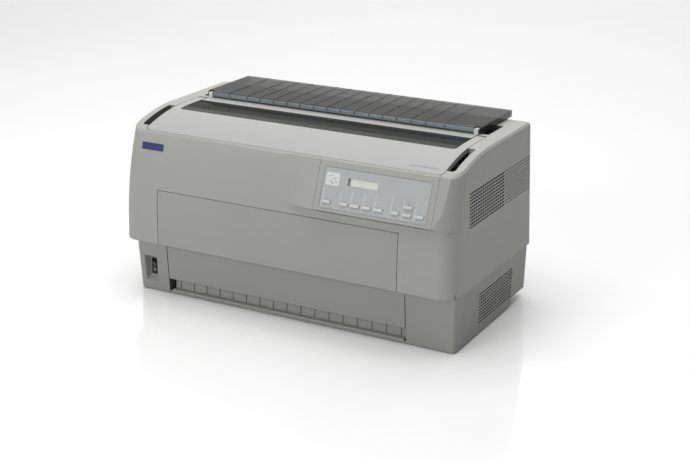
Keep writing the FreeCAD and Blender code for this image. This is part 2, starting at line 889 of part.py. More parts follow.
def upper_case():
    shell = FACED.cut(INNER)
    recess, recess_hollow = recess_parts()
    slot, slot_hollow = slot_parts()
    boss, boss_hole = cover_boss()
    left_boss, left_hole = flap_boss(flap_left - case_boss, flap_left, flap_left)
    right_boss, right_hole = flap_boss(flap_right, flap_right + case_boss, flap_right)
    flanges = [box(-rear_hole_half, rear_hole_half, rear_hole_y - case_wall, rear_hole_y,
                   case_height - bridge_flange, case_height - case_wall / 2),
               box(-bridge_half, bridge_half, bridge_y, bridge_y + case_wall,
                   case_height - bridge_flange, case_height - case_wall / 2)]
    tubs = Part.makeCompound([recess, mirror(recess)]).common(OUTER)
    shell = shell.fuse([tubs, slot, mirror(slot), boss, mirror(boss), left_boss, right_boss, *flanges])
    opening_half = cover_half + seam_gap
    front = cover_front_y - seam_gap
    arm_end = cover_pin_y + cover_swing + seam_gap
    low = front_edge_z - overrun
    high = case_height + overrun
    cover_hole = round_box(-opening_half, opening_half, front, bridge_y, low, high, cover_corner_radius)
    square = bridge_y - cover_corner_radius
    cover_hole = cover_hole.fuse(box(-opening_half, opening_half, square, arm_end, low, high))
    bridge = box(-bridge_half, bridge_half, bridge_y, arm_end + overrun, low, high + overrun)
    cover_hole = cover_hole.cut(bridge)
    tools = [
        cover_hole,
        box(panel_left, panel_right, lip_y - overrun, front + seam_gap, ledge_z, case_height),
        box(flap_left, flap_right, -case_front - overrun, base_front - case_wall + thin_gap,
            seam_height, flap_top),
        box(flap_left, flap_right, -case_front - overrun, base_front + base_wall - sill_depth,
            seam_height, seam_height + case_wall + overrun),
        box(base_left + base_wall, base_right - base_wall, base_front + base_wall, base_rear - base_wall,
            seam_height - overrun, seam_height + case_wall + overrun),
        box(-rear_hole_half, rear_hole_half, rear_hole_y, rear_hole_y + rear_hole_length,
            case_height - bridge_flange - overrun, case_height + overrun),
        recess_hollow, mirror(recess_hollow), slot_hollow, mirror(slot_hollow),
        boss_hole, mirror(boss_hole), left_hole, right_hole, badge_box(seat_gap, badge_thick),
    ]
    shell = cut(shell, tools)
    side = half_width - side_taper - case_wall - overrun
    vents = vent_cuts(upper_side_x, upper_vent_front, upper_vent_foot, upper_vent_rows, case_wall)
    shell = cut(cut(shell, vents), vent_grooves())
    louvres = []
    for row in range(louvre_rows):
        z = fan_z + (row - louvre_rows / 2) * louvre_pitch
        louvres.append(box(-half_width - overrun, -side, fan_y - louvre_length / 2,
                           fan_y + louvre_length / 2, z, z + louvre_height))
    return cut(shell, louvres)


# Front plate, top rim, cheeks and shelf of the panel insert, cut from the brow itself
def control_panel():
    x0 = panel_left + thin_gap
    x1 = panel_right - thin_gap
    rear = cover_front_y - seam_gap
    solid = FACED.common(box(x0, x1, lip_y - overrun, rear, ledge_z + thin_gap, case_height))
    floor = ledge_z + thin_gap + panel_wall
    ceiling = front_edge_z - panel_wall
    behind = panel_wall / math.cos(math.radians(brow_angle))

    def inner_y(z):
        return lip_y + brow_slope * (z - lip_height) + behind

    hollow = prism_x([(inner_y(floor), floor), (inner_y(ceiling), ceiling),
                      (rear + overrun, ceiling), (rear + overrun, floor)],
                     x0 + panel_wall, x1 - panel_wall)
    sheet_x0, sheet_x1, sheet_top = sheet_place()
    bed = sheet_thick + sheet_sunk
    tools = [hollow, on_panel(panel_box(sheet_x0 - sheet_gap, sheet_x1 + sheet_gap, sheet_foot - sheet_gap,
                                        sheet_top + sheet_gap, -bed, overrun))]
    tools += panel_holes(-panel_wall - overrun)
    posts = []
    for x in (sheet_x0 + board_margin / 2, sheet_x1 - board_margin / 2):
        for up in (sheet_foot + board_margin / 2, sheet_top - board_margin / 2):
            half = post_width / 2
            posts.append(on_panel(panel_box(x - half, x + half, up - half, up + half,
                                            -panel_wall - board_gap, bed - panel_wall)))
    return cut(solid, tools).fuse(posts)


def sheet_place():
    return panel_left + sheet_left_margin, panel_right - sheet_right_margin, sheet_foot + sheet_length


# Openings for the buttons and the display, shared by the sheet and the wall behind it
def panel_holes(depth):
    holes = []
    for x, up in button_centres():
        across = button_width / 2 + seat_gap
        rise = button_height / 2 + seat_gap
        holes.append(on_panel(panel_box(x - across, x + across, up - rise, up + rise, depth, overrun)))
    x0 = panel_left + lcd_left
    holes.append(on_panel(panel_box(x0, x0 + lcd_width, lcd_foot, lcd_foot + lcd_height, depth, overrun)))
    return holes


def panel_sheet():
    x0, x1, top = sheet_place()
    return cut(on_panel(panel_box(x0, x1, sheet_foot, top, -sheet_sunk - sheet_thick, -sheet_sunk)),
               panel_holes(-overrun))


def panel_board():
    x0, x1, top = sheet_place()
    front = -panel_wall - board_gap
    return on_panel(panel_box(x0, x1, sheet_foot, top, front - board_thick, front))


def lcd_display():
    x0 = panel_left + lcd_left - lcd_rim
    front = -panel_wall - lcd_back
    return on_panel(panel_box(x0, x0 + lcd_width + 2 * lcd_rim, lcd_foot - lcd_rim,
                              lcd_foot + lcd_height + lcd_rim, -panel_wall - board_gap, front))


# Button cap with bevelled edges, retained behind the wall by a flange
def button(x, up):
    across = button_width / 2
    rise = button_height / 2
    cap = panel_box(x - across, x + across, up - rise, up + rise, -panel_wall, button_proud)
    cap = cap.makeChamfer(button_bevel, [e for e in cap.Edges if e.BoundBox.YMax < 0])
    rim = button_flange
    back = -panel_wall - button_flange_thick
    flange = panel_box(x - across - rim, x + across + rim, up - rise - rim, up + rise + rim,
                       back, -panel_wall)
    half = button_stem_width / 2
    end = button_travel + button_stem_gap - panel_wall - board_gap
    stem = panel_box(x - half, x + half, up - half, up + half, end, back)
    return on_panel(fuse([cap, flange, stem]))


def front_cover():
    x0 = flap_left + seam_gap
    x1 = flap_right - seam_gap
    foot = seam_height + thin_gap
    inner = case_form(case_wall, 0.0, front_corner_radius, seam_height - overrun)
    plate = OUTER.common(box(x0, x1, -case_front - overrun, 0, foot, flap_top - seam_gap)).cut(inner)
    pieces = [plate]
    for side, x in ((1, x0), (-1, x1)):
        ear_x = sorted((x, x + side * flap_ear))
        pin_x = sorted((x + side * flap_ear / 2, x - side * flap_pin_length))
        pieces.append(box(ear_x[0], ear_x[1], -case_front + case_wall / 2, flap_pin_y + flap_ear_reach,
                          flap_pin_z - flap_ear_reach, flap_pin_z + flap_ear_reach))
        pieces.append(rod_x(pin_x[0], pin_x[1], flap_pin_y, flap_pin_z, flap_pin_radius))
    return fuse(pieces)


def badge_plate():
    return badge_box(0.0, badge_thick - badge_sunk)


# Layer of the crowned top between two depths below the surface, inside a cutting block
def crown_layer(depth0, depth1, block):
    upper = case_form(depth0, 0.0, front_corner_radius, seam_height)
    lower = case_form(depth1, 0.0, front_corner_radius, seam_height)
    return upper.common(block).cut(lower)


def printer_cover():
    block = round_box(-cover_half, cover_half, cover_front_y, cover_rear_y, front_edge_z - overrun,
                      case_height + overrun, cover_corner_radius)
    square_rear = box(-cover_half, cover_half, cover_rear_y - cover_corner_radius, cover_rear_y,
                      front_edge_z - overrun, case_height + overrun)
    block = block.fuse(square_rear)
    plate = OUTER.common(block).cut(INNER)
    skirt_zone = block.cut(box(-cover_half + case_wall, cover_half - case_wall, cover_front_y + case_wall,
                               case_rear, 0, case_height + overrun))
    below = OUTER.copy()
    below.translate(vec(0, 0, -cover_skirt))
    skirt = skirt_zone.common(OUTER).cut(below)
    window_tool = round_box(-window_half, window_half, window_front_y, cover_rear_y + window_length,
                            front_edge_z - overrun, case_height + overrun, window_corner_radius)
    pieces = [plate.cut(window_tool), skirt]
    for side in (1, -1):
        ear_x = sorted((side * cover_half, side * (cover_half - cover_ear)))
        pin_end = cover_half + seam_gap + cover_pin_length
        pin_x = sorted((side * (cover_half - cover_ear / 2), side * pin_end))
        reach = cover_pin_radius + case_wall
        pieces.append(box(ear_x[0], ear_x[1], cover_pin_y - reach, cover_rear_y, cover_pin_z - reach,
                          case_height - case_wall / 2))
        pieces.append(rod_x(pin_x[0], pin_x[1], cover_pin_y, cover_pin_z, cover_pin_radius))
    return fuse(pieces)


# Smoked pane: it follows the crown, then dips a little towards its notched rear edge
def cover_window():
    half = window_half - window_gap
    block = round_box(-half, half, window_front_y + window_gap, window_rear_y + window_length,
                      front_edge_z - overrun, case_height + overrun, window_corner_radius)
    block = block.common(box(-half, half, window_front_y, crown_end_y, 0, case_height + overrun))
    top = case_height - window_sunk
    foot = top - window_thick
    rear = prism_x([(crown_end_y, foot), (crown_end_y, top), (window_rear_y, top - window_dip),
                    (window_rear_y, foot - window_dip)], -half, half)
    notches = []
    for k in (-1, 0, 1):
        x = k * window_notch_pitch
        half = window_notch_width / 2
        notches.append(box(x - half, x + half, window_rear_y - window_notch_depth,
                           window_rear_y + overrun, foot - overrun, case_height))
    pane = fuse([crown_layer(window_sunk, window_sunk + window_thick, block), rear])
    return cut(pane, notches)


# Smoked cover: top plate, side walls and a front wall. Each rib stands proud of the front
# and the top, and goes on below the top as a fin
def rear_cover():
    wall = rear_cover_wall
    half = rear_cover_half
    side_y = rear_cover_front + rear_cover_side_setback
    front_half = bracket_inner - seat_gap
    shell = fuse([
        box(-half, half, side_y, rear_cover_rear, rear_cover_foot, rear_cover_top),
        box(-front_half, front_half, rear_cover_front, side_y + overrun, rear_cover_foot, rear_cover_top),
    ])
    hollow = box(-half + wall, half - wall, rear_cover_front + wall, rear_cover_rear + overrun,
                 rear_cover_foot - overrun, rear_cover_top - wall)
    top_front = [e for e in shell.Edges if e.BoundBox.ZMin > rear_cover_top - wall / 2
                 and e.BoundBox.YMax < side_y + wall and e.BoundBox.XLength > front_half]
    shell = shell.makeChamfer(rear_cover_front_bevel, top_front)
    notch = bracket_length + rear_cover_front + seat_gap
    tools = [hollow]
    for side in (1, -1):
        notch_x = sorted((side * front_half, side * (bracket_outer + bracket_gap)))
        tools.append(box(notch_x[0], notch_x[1], rear_cover_front - overrun, notch,
                         rear_cover_foot - overrun, rear_cover_top + overrun))
    shell = cut(shell, tools)
    face = rear_cover_front - rib_proud
    crest = rear_cover_top + rib_proud
    under = rear_cover_top - wall
    bend = rear_cover_front_bevel
    outline = [(face, bracket_pin_z), (face, crest - bend), (face + bend, crest), (rear_cover_rear, crest),
               (rear_cover_rear, under), (rear_cover_rear - fin_end, under),
               (rear_cover_front + wall + bend, under - fin_depth),
               (rear_cover_front + wall / 2, bracket_pin_z)]
    ribs = [prism_x(outline, x - rib_width / 2, x + rib_width / 2) for x in rib_places]
    pieces = [shell]
    for side in (1, -1):
        pin_x = sorted((side * (front_half - wall / 2), side * (half - wall / 2)))
        pieces.append(rod_x(pin_x[0], pin_x[1], bracket_pin_y, bracket_pin_z, bracket_pin_radius))
        web_x = sorted((side * (front_half - wall), side * front_half))
        pieces.append(box(web_x[0], web_x[1], rear_cover_front + wall / 2,
                          bracket_pin_y + bracket_length / 2, rear_cover_foot, rear_cover_top - wall / 2))
        ear_x = sorted((side * (half - wall), side * half))
        pieces.append(box(ear_x[0], ear_x[1], bracket_pin_y - bracket_pin_radius, notch,
                          rear_cover_foot, rear_cover_top - wall))
    swing = bracket_pin_rise - rear_cover_lift
    turn = math.pi / 2 / rear_cover_swing_steps
    foot = [(bracket_pin_y - swing * math.cos(turn * k), bracket_pin_z - swing * math.sin(turn * k))
            for k in range(rear_cover_swing_steps + 1)]
    foot += [(bracket_pin_y, rear_cover_foot - overrun), (face - overrun, rear_cover_foot - overrun),
             (face - overrun, bracket_pin_z)]
    cut_back = prism_x(foot, -half - overrun, half + overrun)
    return fuse([fuse(pieces).cut(cut_back), *ribs])


def rear_cover_brackets():
    reach = bracket_length / 2
    blocks = []
    for side in (1, -1):
        x0, x1 = sorted((side * bracket_inner, side * bracket_outer))
        block = box(x0, x1, bracket_pin_y - reach, bracket_pin_y + reach,
                    case_height, case_height + bracket_height)
        hole = hole_x(x0 - overrun, x1 + overrun, bracket_pin_y, bracket_pin_z,
                      bracket_pin_radius + pin_clearance)
        throat = bracket_pin_radius * bracket_throat_share
        mouth = box(x0 - overrun, x1 + overrun, bracket_pin_y - throat, bracket_pin_y + throat,
                    bracket_pin_z, case_height + bracket_height + overrun)
        blocks.append(cut(block, [hole, mouth]))
    return Part.makeCompound(blocks)


# Solid form of the lower case, offset inwards; its underside steps up at the rear
def base_form(inset, top):
    foot = foot_height + inset
    rise = top - foot_height

    def lean(draft):
        return draft * rise / base_height

    front_foot = base_front + base_front_draft + inset
    rear_foot = base_rear - base_rear_draft - inset
    outline = [(front_foot, foot_height), (front_foot - lean(base_front_draft), top),
               (rear_foot + lean(base_rear_draft), top), (rear_foot, foot_height)]
    form = prism_x(outline, base_left - overrun, base_right + overrun)
    left_foot = base_left + base_side_draft + inset
    right_foot = base_right - base_side_draft - inset
    outline = [(left_foot, foot_height), (left_foot - lean(base_side_draft), top),
               (right_foot + lean(base_side_draft), top), (right_foot, foot_height)]
    form = form.common(prism_y(outline, base_front - overrun, base_rear + overrun))
    corners = [e for e in form.Edges if e.BoundBox.ZLength > rise / 2]
    if inset:
        form = form.makeChamfer((base_corner_radius - inset) * flat_corner_share, corners)
    else:
        form = form.makeFillet(base_corner_radius, corners)
    below = box(base_left - overrun, base_right + overrun, base_front - overrun, base_rear + overrun,
                foot_height - overrun, foot)
    step = box(base_left - overrun, base_right + overrun, step_y - inset, base_rear + overrun,
               foot_height - overrun, foot_height + step_rise + inset)
    return form.cut(below).cut(step)


BASE_OUTER = base_form(0.0, seam_height)
BASE_INNER = base_form(base_wall, seam_height + overrun)


# Square posts that carry the chassis plate
def chassis_posts():
    posts = []
    reach = frame_inner - board_post
    half = board_post / 2
    for x in (-reach, 0, reach):
        for y, floor in ((board_post - chassis_front, base_floor), (frame_rear - board_post, step_floor)):
            posts.append(box(x - half, x + half, y - half, y + half, floor, chassis_height))
    return posts


# Recess round the power switch: its left wall and its foot slope in
def switch_recess():
    x1 = switch_left + switch_width
    z1 = switch_foot + switch_height
    front = base_front - overrun
    back = base_front + base_front_draft / 2 + switch_recess_depth
    block = box(switch_left - switch_wall, x1 + switch_wall, base_front + base_wall,
                back + switch_wall, switch_foot - switch_wall, z1 + switch_wall)
    left = switch_left + switch_slope
    right = x1 - switch_edge
    foot = switch_foot + switch_sill
    top = z1 - switch_edge

    def ring(y, reach):
        x_low = left - switch_slope * reach
        x_high = right + switch_edge * reach
        z_low = foot - switch_sill * reach
        z_high = top + switch_edge * reach
        corners = [vec(x_low, y, z_low), vec(x_high, y, z_low), vec(x_high, y, z_high), vec(x_low, y, z_high)]
        return Part.makePolygon(corners + corners[:1])

    hollow = Part.makeLoft([ring(front, (back - front) / switch_recess_depth), ring(back, 0)], True, True)
    return block, hollow


# Middle of the rocker: across, back face of the recess and height
def switch_centre():
    x = (switch_left + switch_slope + switch_left + switch_width - switch_edge) / 2
    z = (switch_foot + switch_sill + switch_foot + switch_height - switch_edge) / 2
    return x, base_front + base_front_draft / 2 + switch_recess_depth, z


def base_case():
    shell = BASE_OUTER.cut(BASE_INNER)
    recess, recess_hollow = switch_recess()
    x, y, z = switch_centre()
    body_x = rocker_width / 2 + switch_rim - switch_bezel + seat_gap
    body_z = rocker_height / 2 + switch_rim - switch_bezel + seat_gap
    cheeks = []
    for x0, x1 in ((mouth_left - base_wall, mouth_left), (mouth_right, mouth_right + base_wall)):
        wall = box(x0, x1, base_front + base_wall, base_front + cheek_depth, base_floor, seam_height)
        cheeks.append(wall)
    shell = shell.fuse([recess, *cheeks, *chassis_posts()])
    shell = shell.common(BASE_OUTER)
    pin_x0 = mouth_left - lower_pin_length
    pin_x1 = mouth_right + lower_pin_length
    tools = [
        recess_hollow,
        box(x - body_x, x + body_x, y - overrun, y + switch_wall + overrun, z - body_z, z + body_z),
        box(mouth_left, mouth_right, base_front - overrun, base_front + base_front_draft + base_wall,
            base_floor, seam_height + overrun),
        hole_x(pin_x0, pin_x1, lower_pin_y(), seam_height - lower_pin_drop,
               lower_pin_radius + pin_clearance),
        box(inlet_x - inlet_width / 2 - seat_gap, inlet_x + inlet_width / 2 + seat_gap,
            step_y, base_rear + overrun,
            inlet_z - inlet_height / 2 - seat_gap, inlet_z + inlet_height / 2 + seat_gap),
        box(ports_x - ports_width / 2 + ports_rim, ports_x + ports_width / 2 - ports_rim,
            step_y, base_rear + overrun,
            ports_z - ports_height / 2 + ports_rim, ports_z + ports_height / 2 - ports_rim),
    ]
    shell = cut(shell, tools)
    return cut(shell, vent_cuts(base_side_x, lower_vent_front, lower_vent_foot, lower_vent_rows, base_wall))


def rubber_feet():
    feet = []
    for x in (base_left + base_side_draft + foot_margin, base_right - base_side_draft - foot_margin):
        for y in (base_front + base_front_draft + foot_margin, step_y - foot_margin):
            feet.append(box(x - foot_width / 2, x + foot_width / 2,
                            y - foot_length / 2, y + foot_length / 2, 0, foot_height))
    return Part.makeCompound(feet)


def lower_pin_y():
    drop = lower_pin_drop / base_height
    return base_front + base_front_draft * drop + base_wall


def lower_front_cover():
    x0 = mouth_left + lower_cover_gap
    x1 = mouth_right - lower_cover_gap
    top = seam_height - lower_cover_drop
    slab = BASE_OUTER.cut(base_form(base_wall, seam_height))
    behind = base_front + base_front_draft + base_wall + overrun
    plate = slab.common(box(x0, x1, base_front - overrun, behind, lower_cover_foot, top))
    pin_y = lower_pin_y()
    pin_z = seam_height - lower_pin_drop
    pieces = [plate]
    for side, x in ((1, x0), (-1, x1)):
        ear_x = sorted((x, x + side * lower_ear))
        pin_x = sorted((x + side * lower_ear / 2, x - side * lower_pin_length))
        pieces.append(box(ear_x[0], ear_x[1], pin_y - base_wall / 2, pin_y + lower_ear_reach,
                          pin_z - lower_ear_reach, pin_z + lower_ear_reach))
        pieces.append(rod_x(pin_x[0], pin_x[1], pin_y, pin_z, lower_pin_radius))
    return fuse(pieces)


# Curved guide behind the paper entry, with a ledge at its foot and ribs on its upright part
def paper_entry_guide():
    x0 = mouth_left + guide_margin
    x1 = mouth_right - guide_margin
    face_y = base_front + base_front_draft + guide_setback
    foot_z = base_floor + guide_ledge_thick

    def profile(out):
        start = vec(x0, face_y - out, base_floor)
        bend = vec(x0, face_y - out + guide_lean, foot_z + guide_upright)
        lean = math.atan2(guide_lean, guide_upright)
        radius = guide_arc_radius + out
        centre = vec(x0, bend.y + radius * math.cos(lean), bend.z - radius * math.sin(lean))

        def on_arc(angle):
            return vec(x0, centre.y - radius * math.cos(angle), centre.z + radius * math.sin(angle))

        sweep = math.radians(guide_arc_angle) + lean
        return start, bend, on_arc((lean + sweep) / 2), on_arc(sweep)

    def skin(out, back, width, left):
        outer = profile(out)
        inner = profile(-back)
        wire = Part.Wire([
            Part.makeLine(outer[0], outer[1]), Part.Arc(outer[1], outer[2], outer[3]).toShape(),
            Part.makeLine(outer[3], inner[3]), Part.Arc(inner[3], inner[2], inner[1]).toShape(),
            Part.makeLine(inner[1], inner[0]), Part.makeLine(inner[0], outer[0]),
        ])
        solid = Part.Face(wire).extrude(vec(width, 0, 0))
        solid.translate(vec(left - x0, 0, 0))
        return solid

    pieces = [skin(0.0, guide_thick, x1 - x0, x0),
              box(x0, x1, face_y - guide_ledge, face_y + guide_thick, base_floor, foot_z)]
    bend_y = face_y + guide_lean
    bend_z = foot_z + guide_upright
    for k in range(guide_rib_count):
        x = (k - (guide_rib_count - 1) / 2) * guide_rib_pitch + (mouth_left + mouth_right) / 2
        half = guide_rib_width / 2
        pieces.append(prism_x([(face_y - guide_rib_proud, foot_z), (bend_y - guide_rib_proud, bend_z),
                               (bend_y + guide_thick / 2, bend_z), (face_y + guide_thick / 2, foot_z)],
                              x - half, x + half))
    return fuse(pieces)


def power_switch_body():
    x, y, z = switch_centre()
    rim_x = rocker_width / 2 + switch_rim
    rim_z = rocker_height / 2 + switch_rim
    bezel = box(x - rim_x, x + rim_x, y - switch_bezel, y, z - rim_z, z + rim_z)
    inset = switch_bezel
    body = box(x - rim_x + inset, x + rim_x - inset, y - switch_bezel, y + switch_depth,
               z - rim_z + inset, z + rim_z - inset)
    well_x = rocker_width / 2 + rocker_gap
    well_z = rocker_height / 2 + rocker_gap
    well = box(x - well_x, x + well_x, y - overrun, y + rocker_pivot_depth * 2, z - well_z, z + well_z)
    reach = well_x + rocker_pin_length
    holes = hole_x(x - reach, x + reach, y + rocker_pivot_depth, z, rocker_pin_radius + pin_clearance)
    return cut(fuse([bezel, body]), [well, holes])


# Rocker with a shallow V face, pressed at its foot at rest
def power_rocker():
    x, y, z = switch_centre()
    half = rocker_width / 2
    pivot_y = y + rocker_pivot_depth
    face = y - switch_bezel
    dip = rocker_height * math.tan(math.radians(rocker_tilt)) / 2
    reach = rocker_pivot_depth + switch_bezel + dip
    rise = rocker_height / 2 - reach * math.sin(math.radians(rocker_tilt))
    outline = [(face - dip, z - rise), (face, z), (face - dip, z + rise),
               (pivot_y, z + rise - dip), (pivot_y + rocker_pivot_depth / 2, z), (pivot_y, z - rise + dip)]
    reach = half + rocker_gap + rocker_pin_length - seat_gap
    rocker = fuse([prism_x(outline, x - half, x + half),
                   rod_x(x - reach, x + reach, pivot_y, z, rocker_pin_radius)])
    rocker.rotate(vec(x, pivot_y, z), X_AXIS, rocker_tilt)
    return rocker


def chassis_plate():
    half = frame_half_span + overrun
    return box(-half, half, -chassis_front, frame_rear, chassis_height, chassis_top)


# Side frame of pressed sheet, standing on the chassis plate, with holes for what it carries
def side_frame(left):
    x0, x1 = (-frame_half_span, -frame_inner) if left else (frame_inner, frame_half_span)
    nose_foot = case_height - frame_nose_foot_drop
    nose_top = case_height - frame_nose_drop
    brow_top = case_height - frame_brow_drop
    frame_top = case_height - frame_drop
    sheet = prism_x([(-chassis_front, chassis_top), (-frame_shoulder_front, frame_toe),
                     (-frame_shoulder_front, case_height - frame_shoulder_drop), (-frame_front, nose_foot),
                     (-frame_front, nose_top), (-cartridge_rear, brow_top), (platen_y, frame_top),
                     (platen_y + frame_top_length, frame_top), (frame_rear, case_height - frame_rear_drop),
                     (frame_rear, chassis_top)], x0, x1)
    side = -1 if left else 1
    tab_x = sorted((side * (frame_inner + frame_thick / 2), side * (frame_inner - frame_tab_reach)))
    tab = box(tab_x[0], tab_x[1], -frame_front + overrun, -cartridge_rear - overrun,
              cartridge_foot - bracket_thick, cartridge_foot)
    shelf_x = sorted((side * frame_inner, side * (pulley_x - carriage_motor_radius - case_wall)))
    shelf_z = belt_z - pulley_rim - bracket_thick - seat_gap
    reach = carriage_motor_radius + case_wall
    shelf = box(shelf_x[0], shelf_x[1], pulley_y - reach, pulley_y + reach, shelf_z - bracket_thick, shelf_z)
    pieces = [sheet, tab, shelf]
    low = x0 - overrun
    high = x1 + overrun
    if not left:
        pieces.append(rod_z(pulley_x, pulley_y, shelf_z, belt_z + belt_height + pulley_rim, motor_shaft_radius))
    tools = [
        hole_x(low, high, platen_y, platen_z, platen_shaft_radius + pin_clearance),
        hole_x(low, high, front_shaft_y, shaft_z, front_shaft_radius + shaft_clearance),
        hole_x(low, high, rear_shaft_y, shaft_z, rear_shaft_radius + shaft_clearance),
        hole_x(low, high, tractor_y, tractor_shaft_z, tractor_journal_radius + pin_clearance),
        hole_x(low, high, tractor_y, tractor_rail_z, tractor_rail_radius + shaft_clearance),
    ]
    if left:
        bore = fan_bore_radius / math.cos(math.pi / fan_bore_sides)
        tools.append(polygon_x(low, high, fan_y, fan_z, bore, fan_bore_sides))
        tools.append(hole_z(-pulley_x, pulley_y, shelf_z - overrun, shelf_z + overrun,
                            motor_shaft_radius + pin_clearance))
    else:
        tools.append(hole_x(low, high, pinion_y, pinion_z, motor_shaft_hole))
    return cut(fuse(pieces), tools)


# Two shafts that carry the carriage and the rail that steadies the tractors
def guide_shafts():
    reach = frame_half_span + bracket_thick
    return Part.makeCompound([rod_x(-reach, reach, front_shaft_y, shaft_z, front_shaft_radius),
                              rod_x(-reach, reach, rear_shaft_y, shaft_z, rear_shaft_radius),
                              rod_x(-reach, reach, tractor_y, tractor_rail_z, tractor_rail_radius)])


def platen():
    half = frame_inner - platen_margin
    reach = feed_pulley_x + feed_pulley_width
    return fuse([rod_x(-half, half, platen_y, platen_z, platen_radius),
                 polygon_x(-frame_half_span - bracket_thick, reach, platen_y, platen_z, platen_shaft_radius,
                           shaft_sides)])


# Spur gear with straight-flanked teeth, thinned by the backlash; first tooth at an angle
def spur_gear(teeth, x0, x1, y, z, first_angle):
    pitch_radius = gear_module * teeth / 2
    tip = pitch_radius + gear_module * gear_tip_share
    root = pitch_radius - gear_module * gear_root_share
    pitch_angle = 2 * math.pi / teeth
    thick = pitch_angle / 4 - gear_backlash / (2 * pitch_radius)
    flank = ((root, -tooth_root_share), (tip, -tooth_tip_share),
             (tip, tooth_tip_share), (root, tooth_root_share))
    points = []
    for tooth in range(teeth):
        for radius, share in flank:
            angle = first_angle + tooth * pitch_angle + thick * share
            points.append((y + radius * math.cos(angle), z + radius * math.sin(angle)))
    return prism_x(points, x0, x1)


# Gear and belt pulley moulded as one piece on the platen's shaft
def platen_gear():
    gear = spur_gear(platen_teeth, gear_x, gear_x + gear_width, platen_y, platen_z,
                     math.radians(pinion_angle))
    hub = polygon_x(gear_x, feed_pulley_x + pulley_rim, platen_y, platen_z, feed_pulley_radius,
                    feed_pulley_teeth)
    bore = hole_x(gear_x - overrun, feed_pulley_x + feed_pulley_width + overrun, platen_y, platen_z,
                  platen_shaft_radius)
    return fuse([gear, hub, feed_pulley(platen_y, platen_z, platen_shaft_radius)]).cut(bore)


def feed_pinion():
    half_pitch = math.pi / pinion_teeth
    gear = spur_gear(pinion_teeth, gear_x, gear_x + gear_width, pinion_y, pinion_z,
                     math.radians(pinion_angle) + math.pi + half_pitch)
    shaft = rod_x(frame_inner - feed_motor_shaft, gear_x + gear_width, pinion_y, pinion_z, motor_shaft_radius)
    return fuse([gear, shaft])


# Stepping motor with flat sides, bored for the pinion's shaft
def feed_motor():
    body = polygon_x(frame_inner - feed_motor_length, frame_inner, pinion_y, pinion_z,
                     feed_motor_radius, hole_sides)
    foot = frame_inner - feed_motor_shaft - seat_gap
    return body.cut(hole_x(foot, frame_inner + overrun, pinion_y, pinion_z, motor_shaft_radius + pin_clearance))


# Toothed belt as a plain band round two equal pulleys on the X axis
def band_x(x0, x1, y0, z0, y1, z1, radius, thick, teeth):
    outer = prism_x(loop_outline(y0, z0, y1, z1, radius + thick, teeth // 2), x0, x1)
    return outer.cut(prism_x(loop_outline(y0, z0, y1, z1, radius, teeth // 2), x0 - overrun, x1 + overrun))


# Toothed pulley between two flanges; it has as many flat sides as teeth
def flanged_pulley(x0, x1, y, z, radius, bore):
    rim = pulley_rim
    teeth = feed_pulley_teeth
    wheel = fuse([polygon_x(x0, x1, y, z, radius, teeth),
                  polygon_x(x0 - rim, x0, y, z, radius + pulley_flange, teeth),
                  polygon_x(x1, x1 + rim, y, z, radius + pulley_flange, teeth)])
    return wheel.cut(hole_x(x0 - rim - overrun, x1 + rim + overrun, y, z, bore))


def feed_belt():
    x0 = feed_pulley_x + pulley_rim + belt_gap
    x1 = x0 + feed_pulley_width - 2 * pulley_rim - 2 * belt_gap
    radius = (feed_pulley_radius + belt_gap) / math.cos(math.pi / feed_pulley_teeth)
    return band_x(x0, x1, platen_y, platen_z, tractor_y, tractor_shaft_z, radius, belt_thick, feed_pulley_teeth)


def feed_pulley(y, z, bore):
    return flanged_pulley(feed_pulley_x + pulley_rim, feed_pulley_x + feed_pulley_width - pulley_rim, y, z,
                          feed_pulley_radius, bore)


def tractor_shaft():
    side = tractor_shaft_side / 2
    half = frame_inner - bracket_thick
    bar = box(-half, half, tractor_y - side, tractor_y + side, tractor_shaft_z - side, tractor_shaft_z + side)
    journal = rod_x(-frame_half_span - bracket_thick, feed_pulley_x + feed_pulley_width, tractor_y,
                    tractor_shaft_z, tractor_journal_radius)
    return fuse([bar, journal])


# Tractor unit: block with a pinned band, bored for the square shaft and the rail
def tractor(x, side):
    half = tractor_width / 2

    def block(reach, radius):
        outline = loop_outline(tractor_y, tractor_rail_z, tractor_y, tractor_shaft_z, radius, hole_sides // 2)
        return prism_x(outline, x - reach, x + reach)

    pieces = [block(half, tractor_radius), block(tractor_band_width / 2, tractor_radius + tractor_band)]
    face = tractor_y - tractor_radius - tractor_band
    for k in range(tractor_pin_count):
        z = tractor_middle_z + (k - (tractor_pin_count - 1) / 2) * tractor_pin_pitch
        pin = polygon_x(0, tractor_pin_height + tractor_band, 0, 0, tractor_pin_radius, hole_sides)
        pin.rotate(ORIGIN, Z_AXIS, -90)
        pin.translate(vec(x, face + tractor_band, z))
        pieces.append(pin)
    hinge_x, hinge_y = tractor_hinge(x, side)
    lug_x = sorted((x + side * (half - case_wall / 2), hinge_x))
    for z in tractor_lugs():
        pieces.append(box(lug_x[0], lug_x[1], hinge_y - tractor_lug_radius, hinge_y + tractor_lug_radius * 2,
                          z, z + tractor_lug))
        pieces.append(polygon_z(hinge_x, hinge_y, z, z + tractor_lug, tractor_lug_radius, hole_sides))
    body = fuse(pieces)
    bore = tractor_shaft_side / math.sqrt(2) + slide_clearance
    low = x - half - overrun
    high = x + half + overrun
    lug_low, lug_high = tractor_lugs()
    tools = [
        hole_x(low, high, tractor_y, tractor_shaft_z, bore),
        hole_x(low, high, tractor_y, tractor_rail_z, tractor_rail_radius + slide_clearance),
        hole_z(hinge_x, hinge_y, lug_low - overrun, lug_high + tractor_lug + overrun,
               tractor_hinge_radius + pin_clearance),
    ]
    return cut(body, tools)


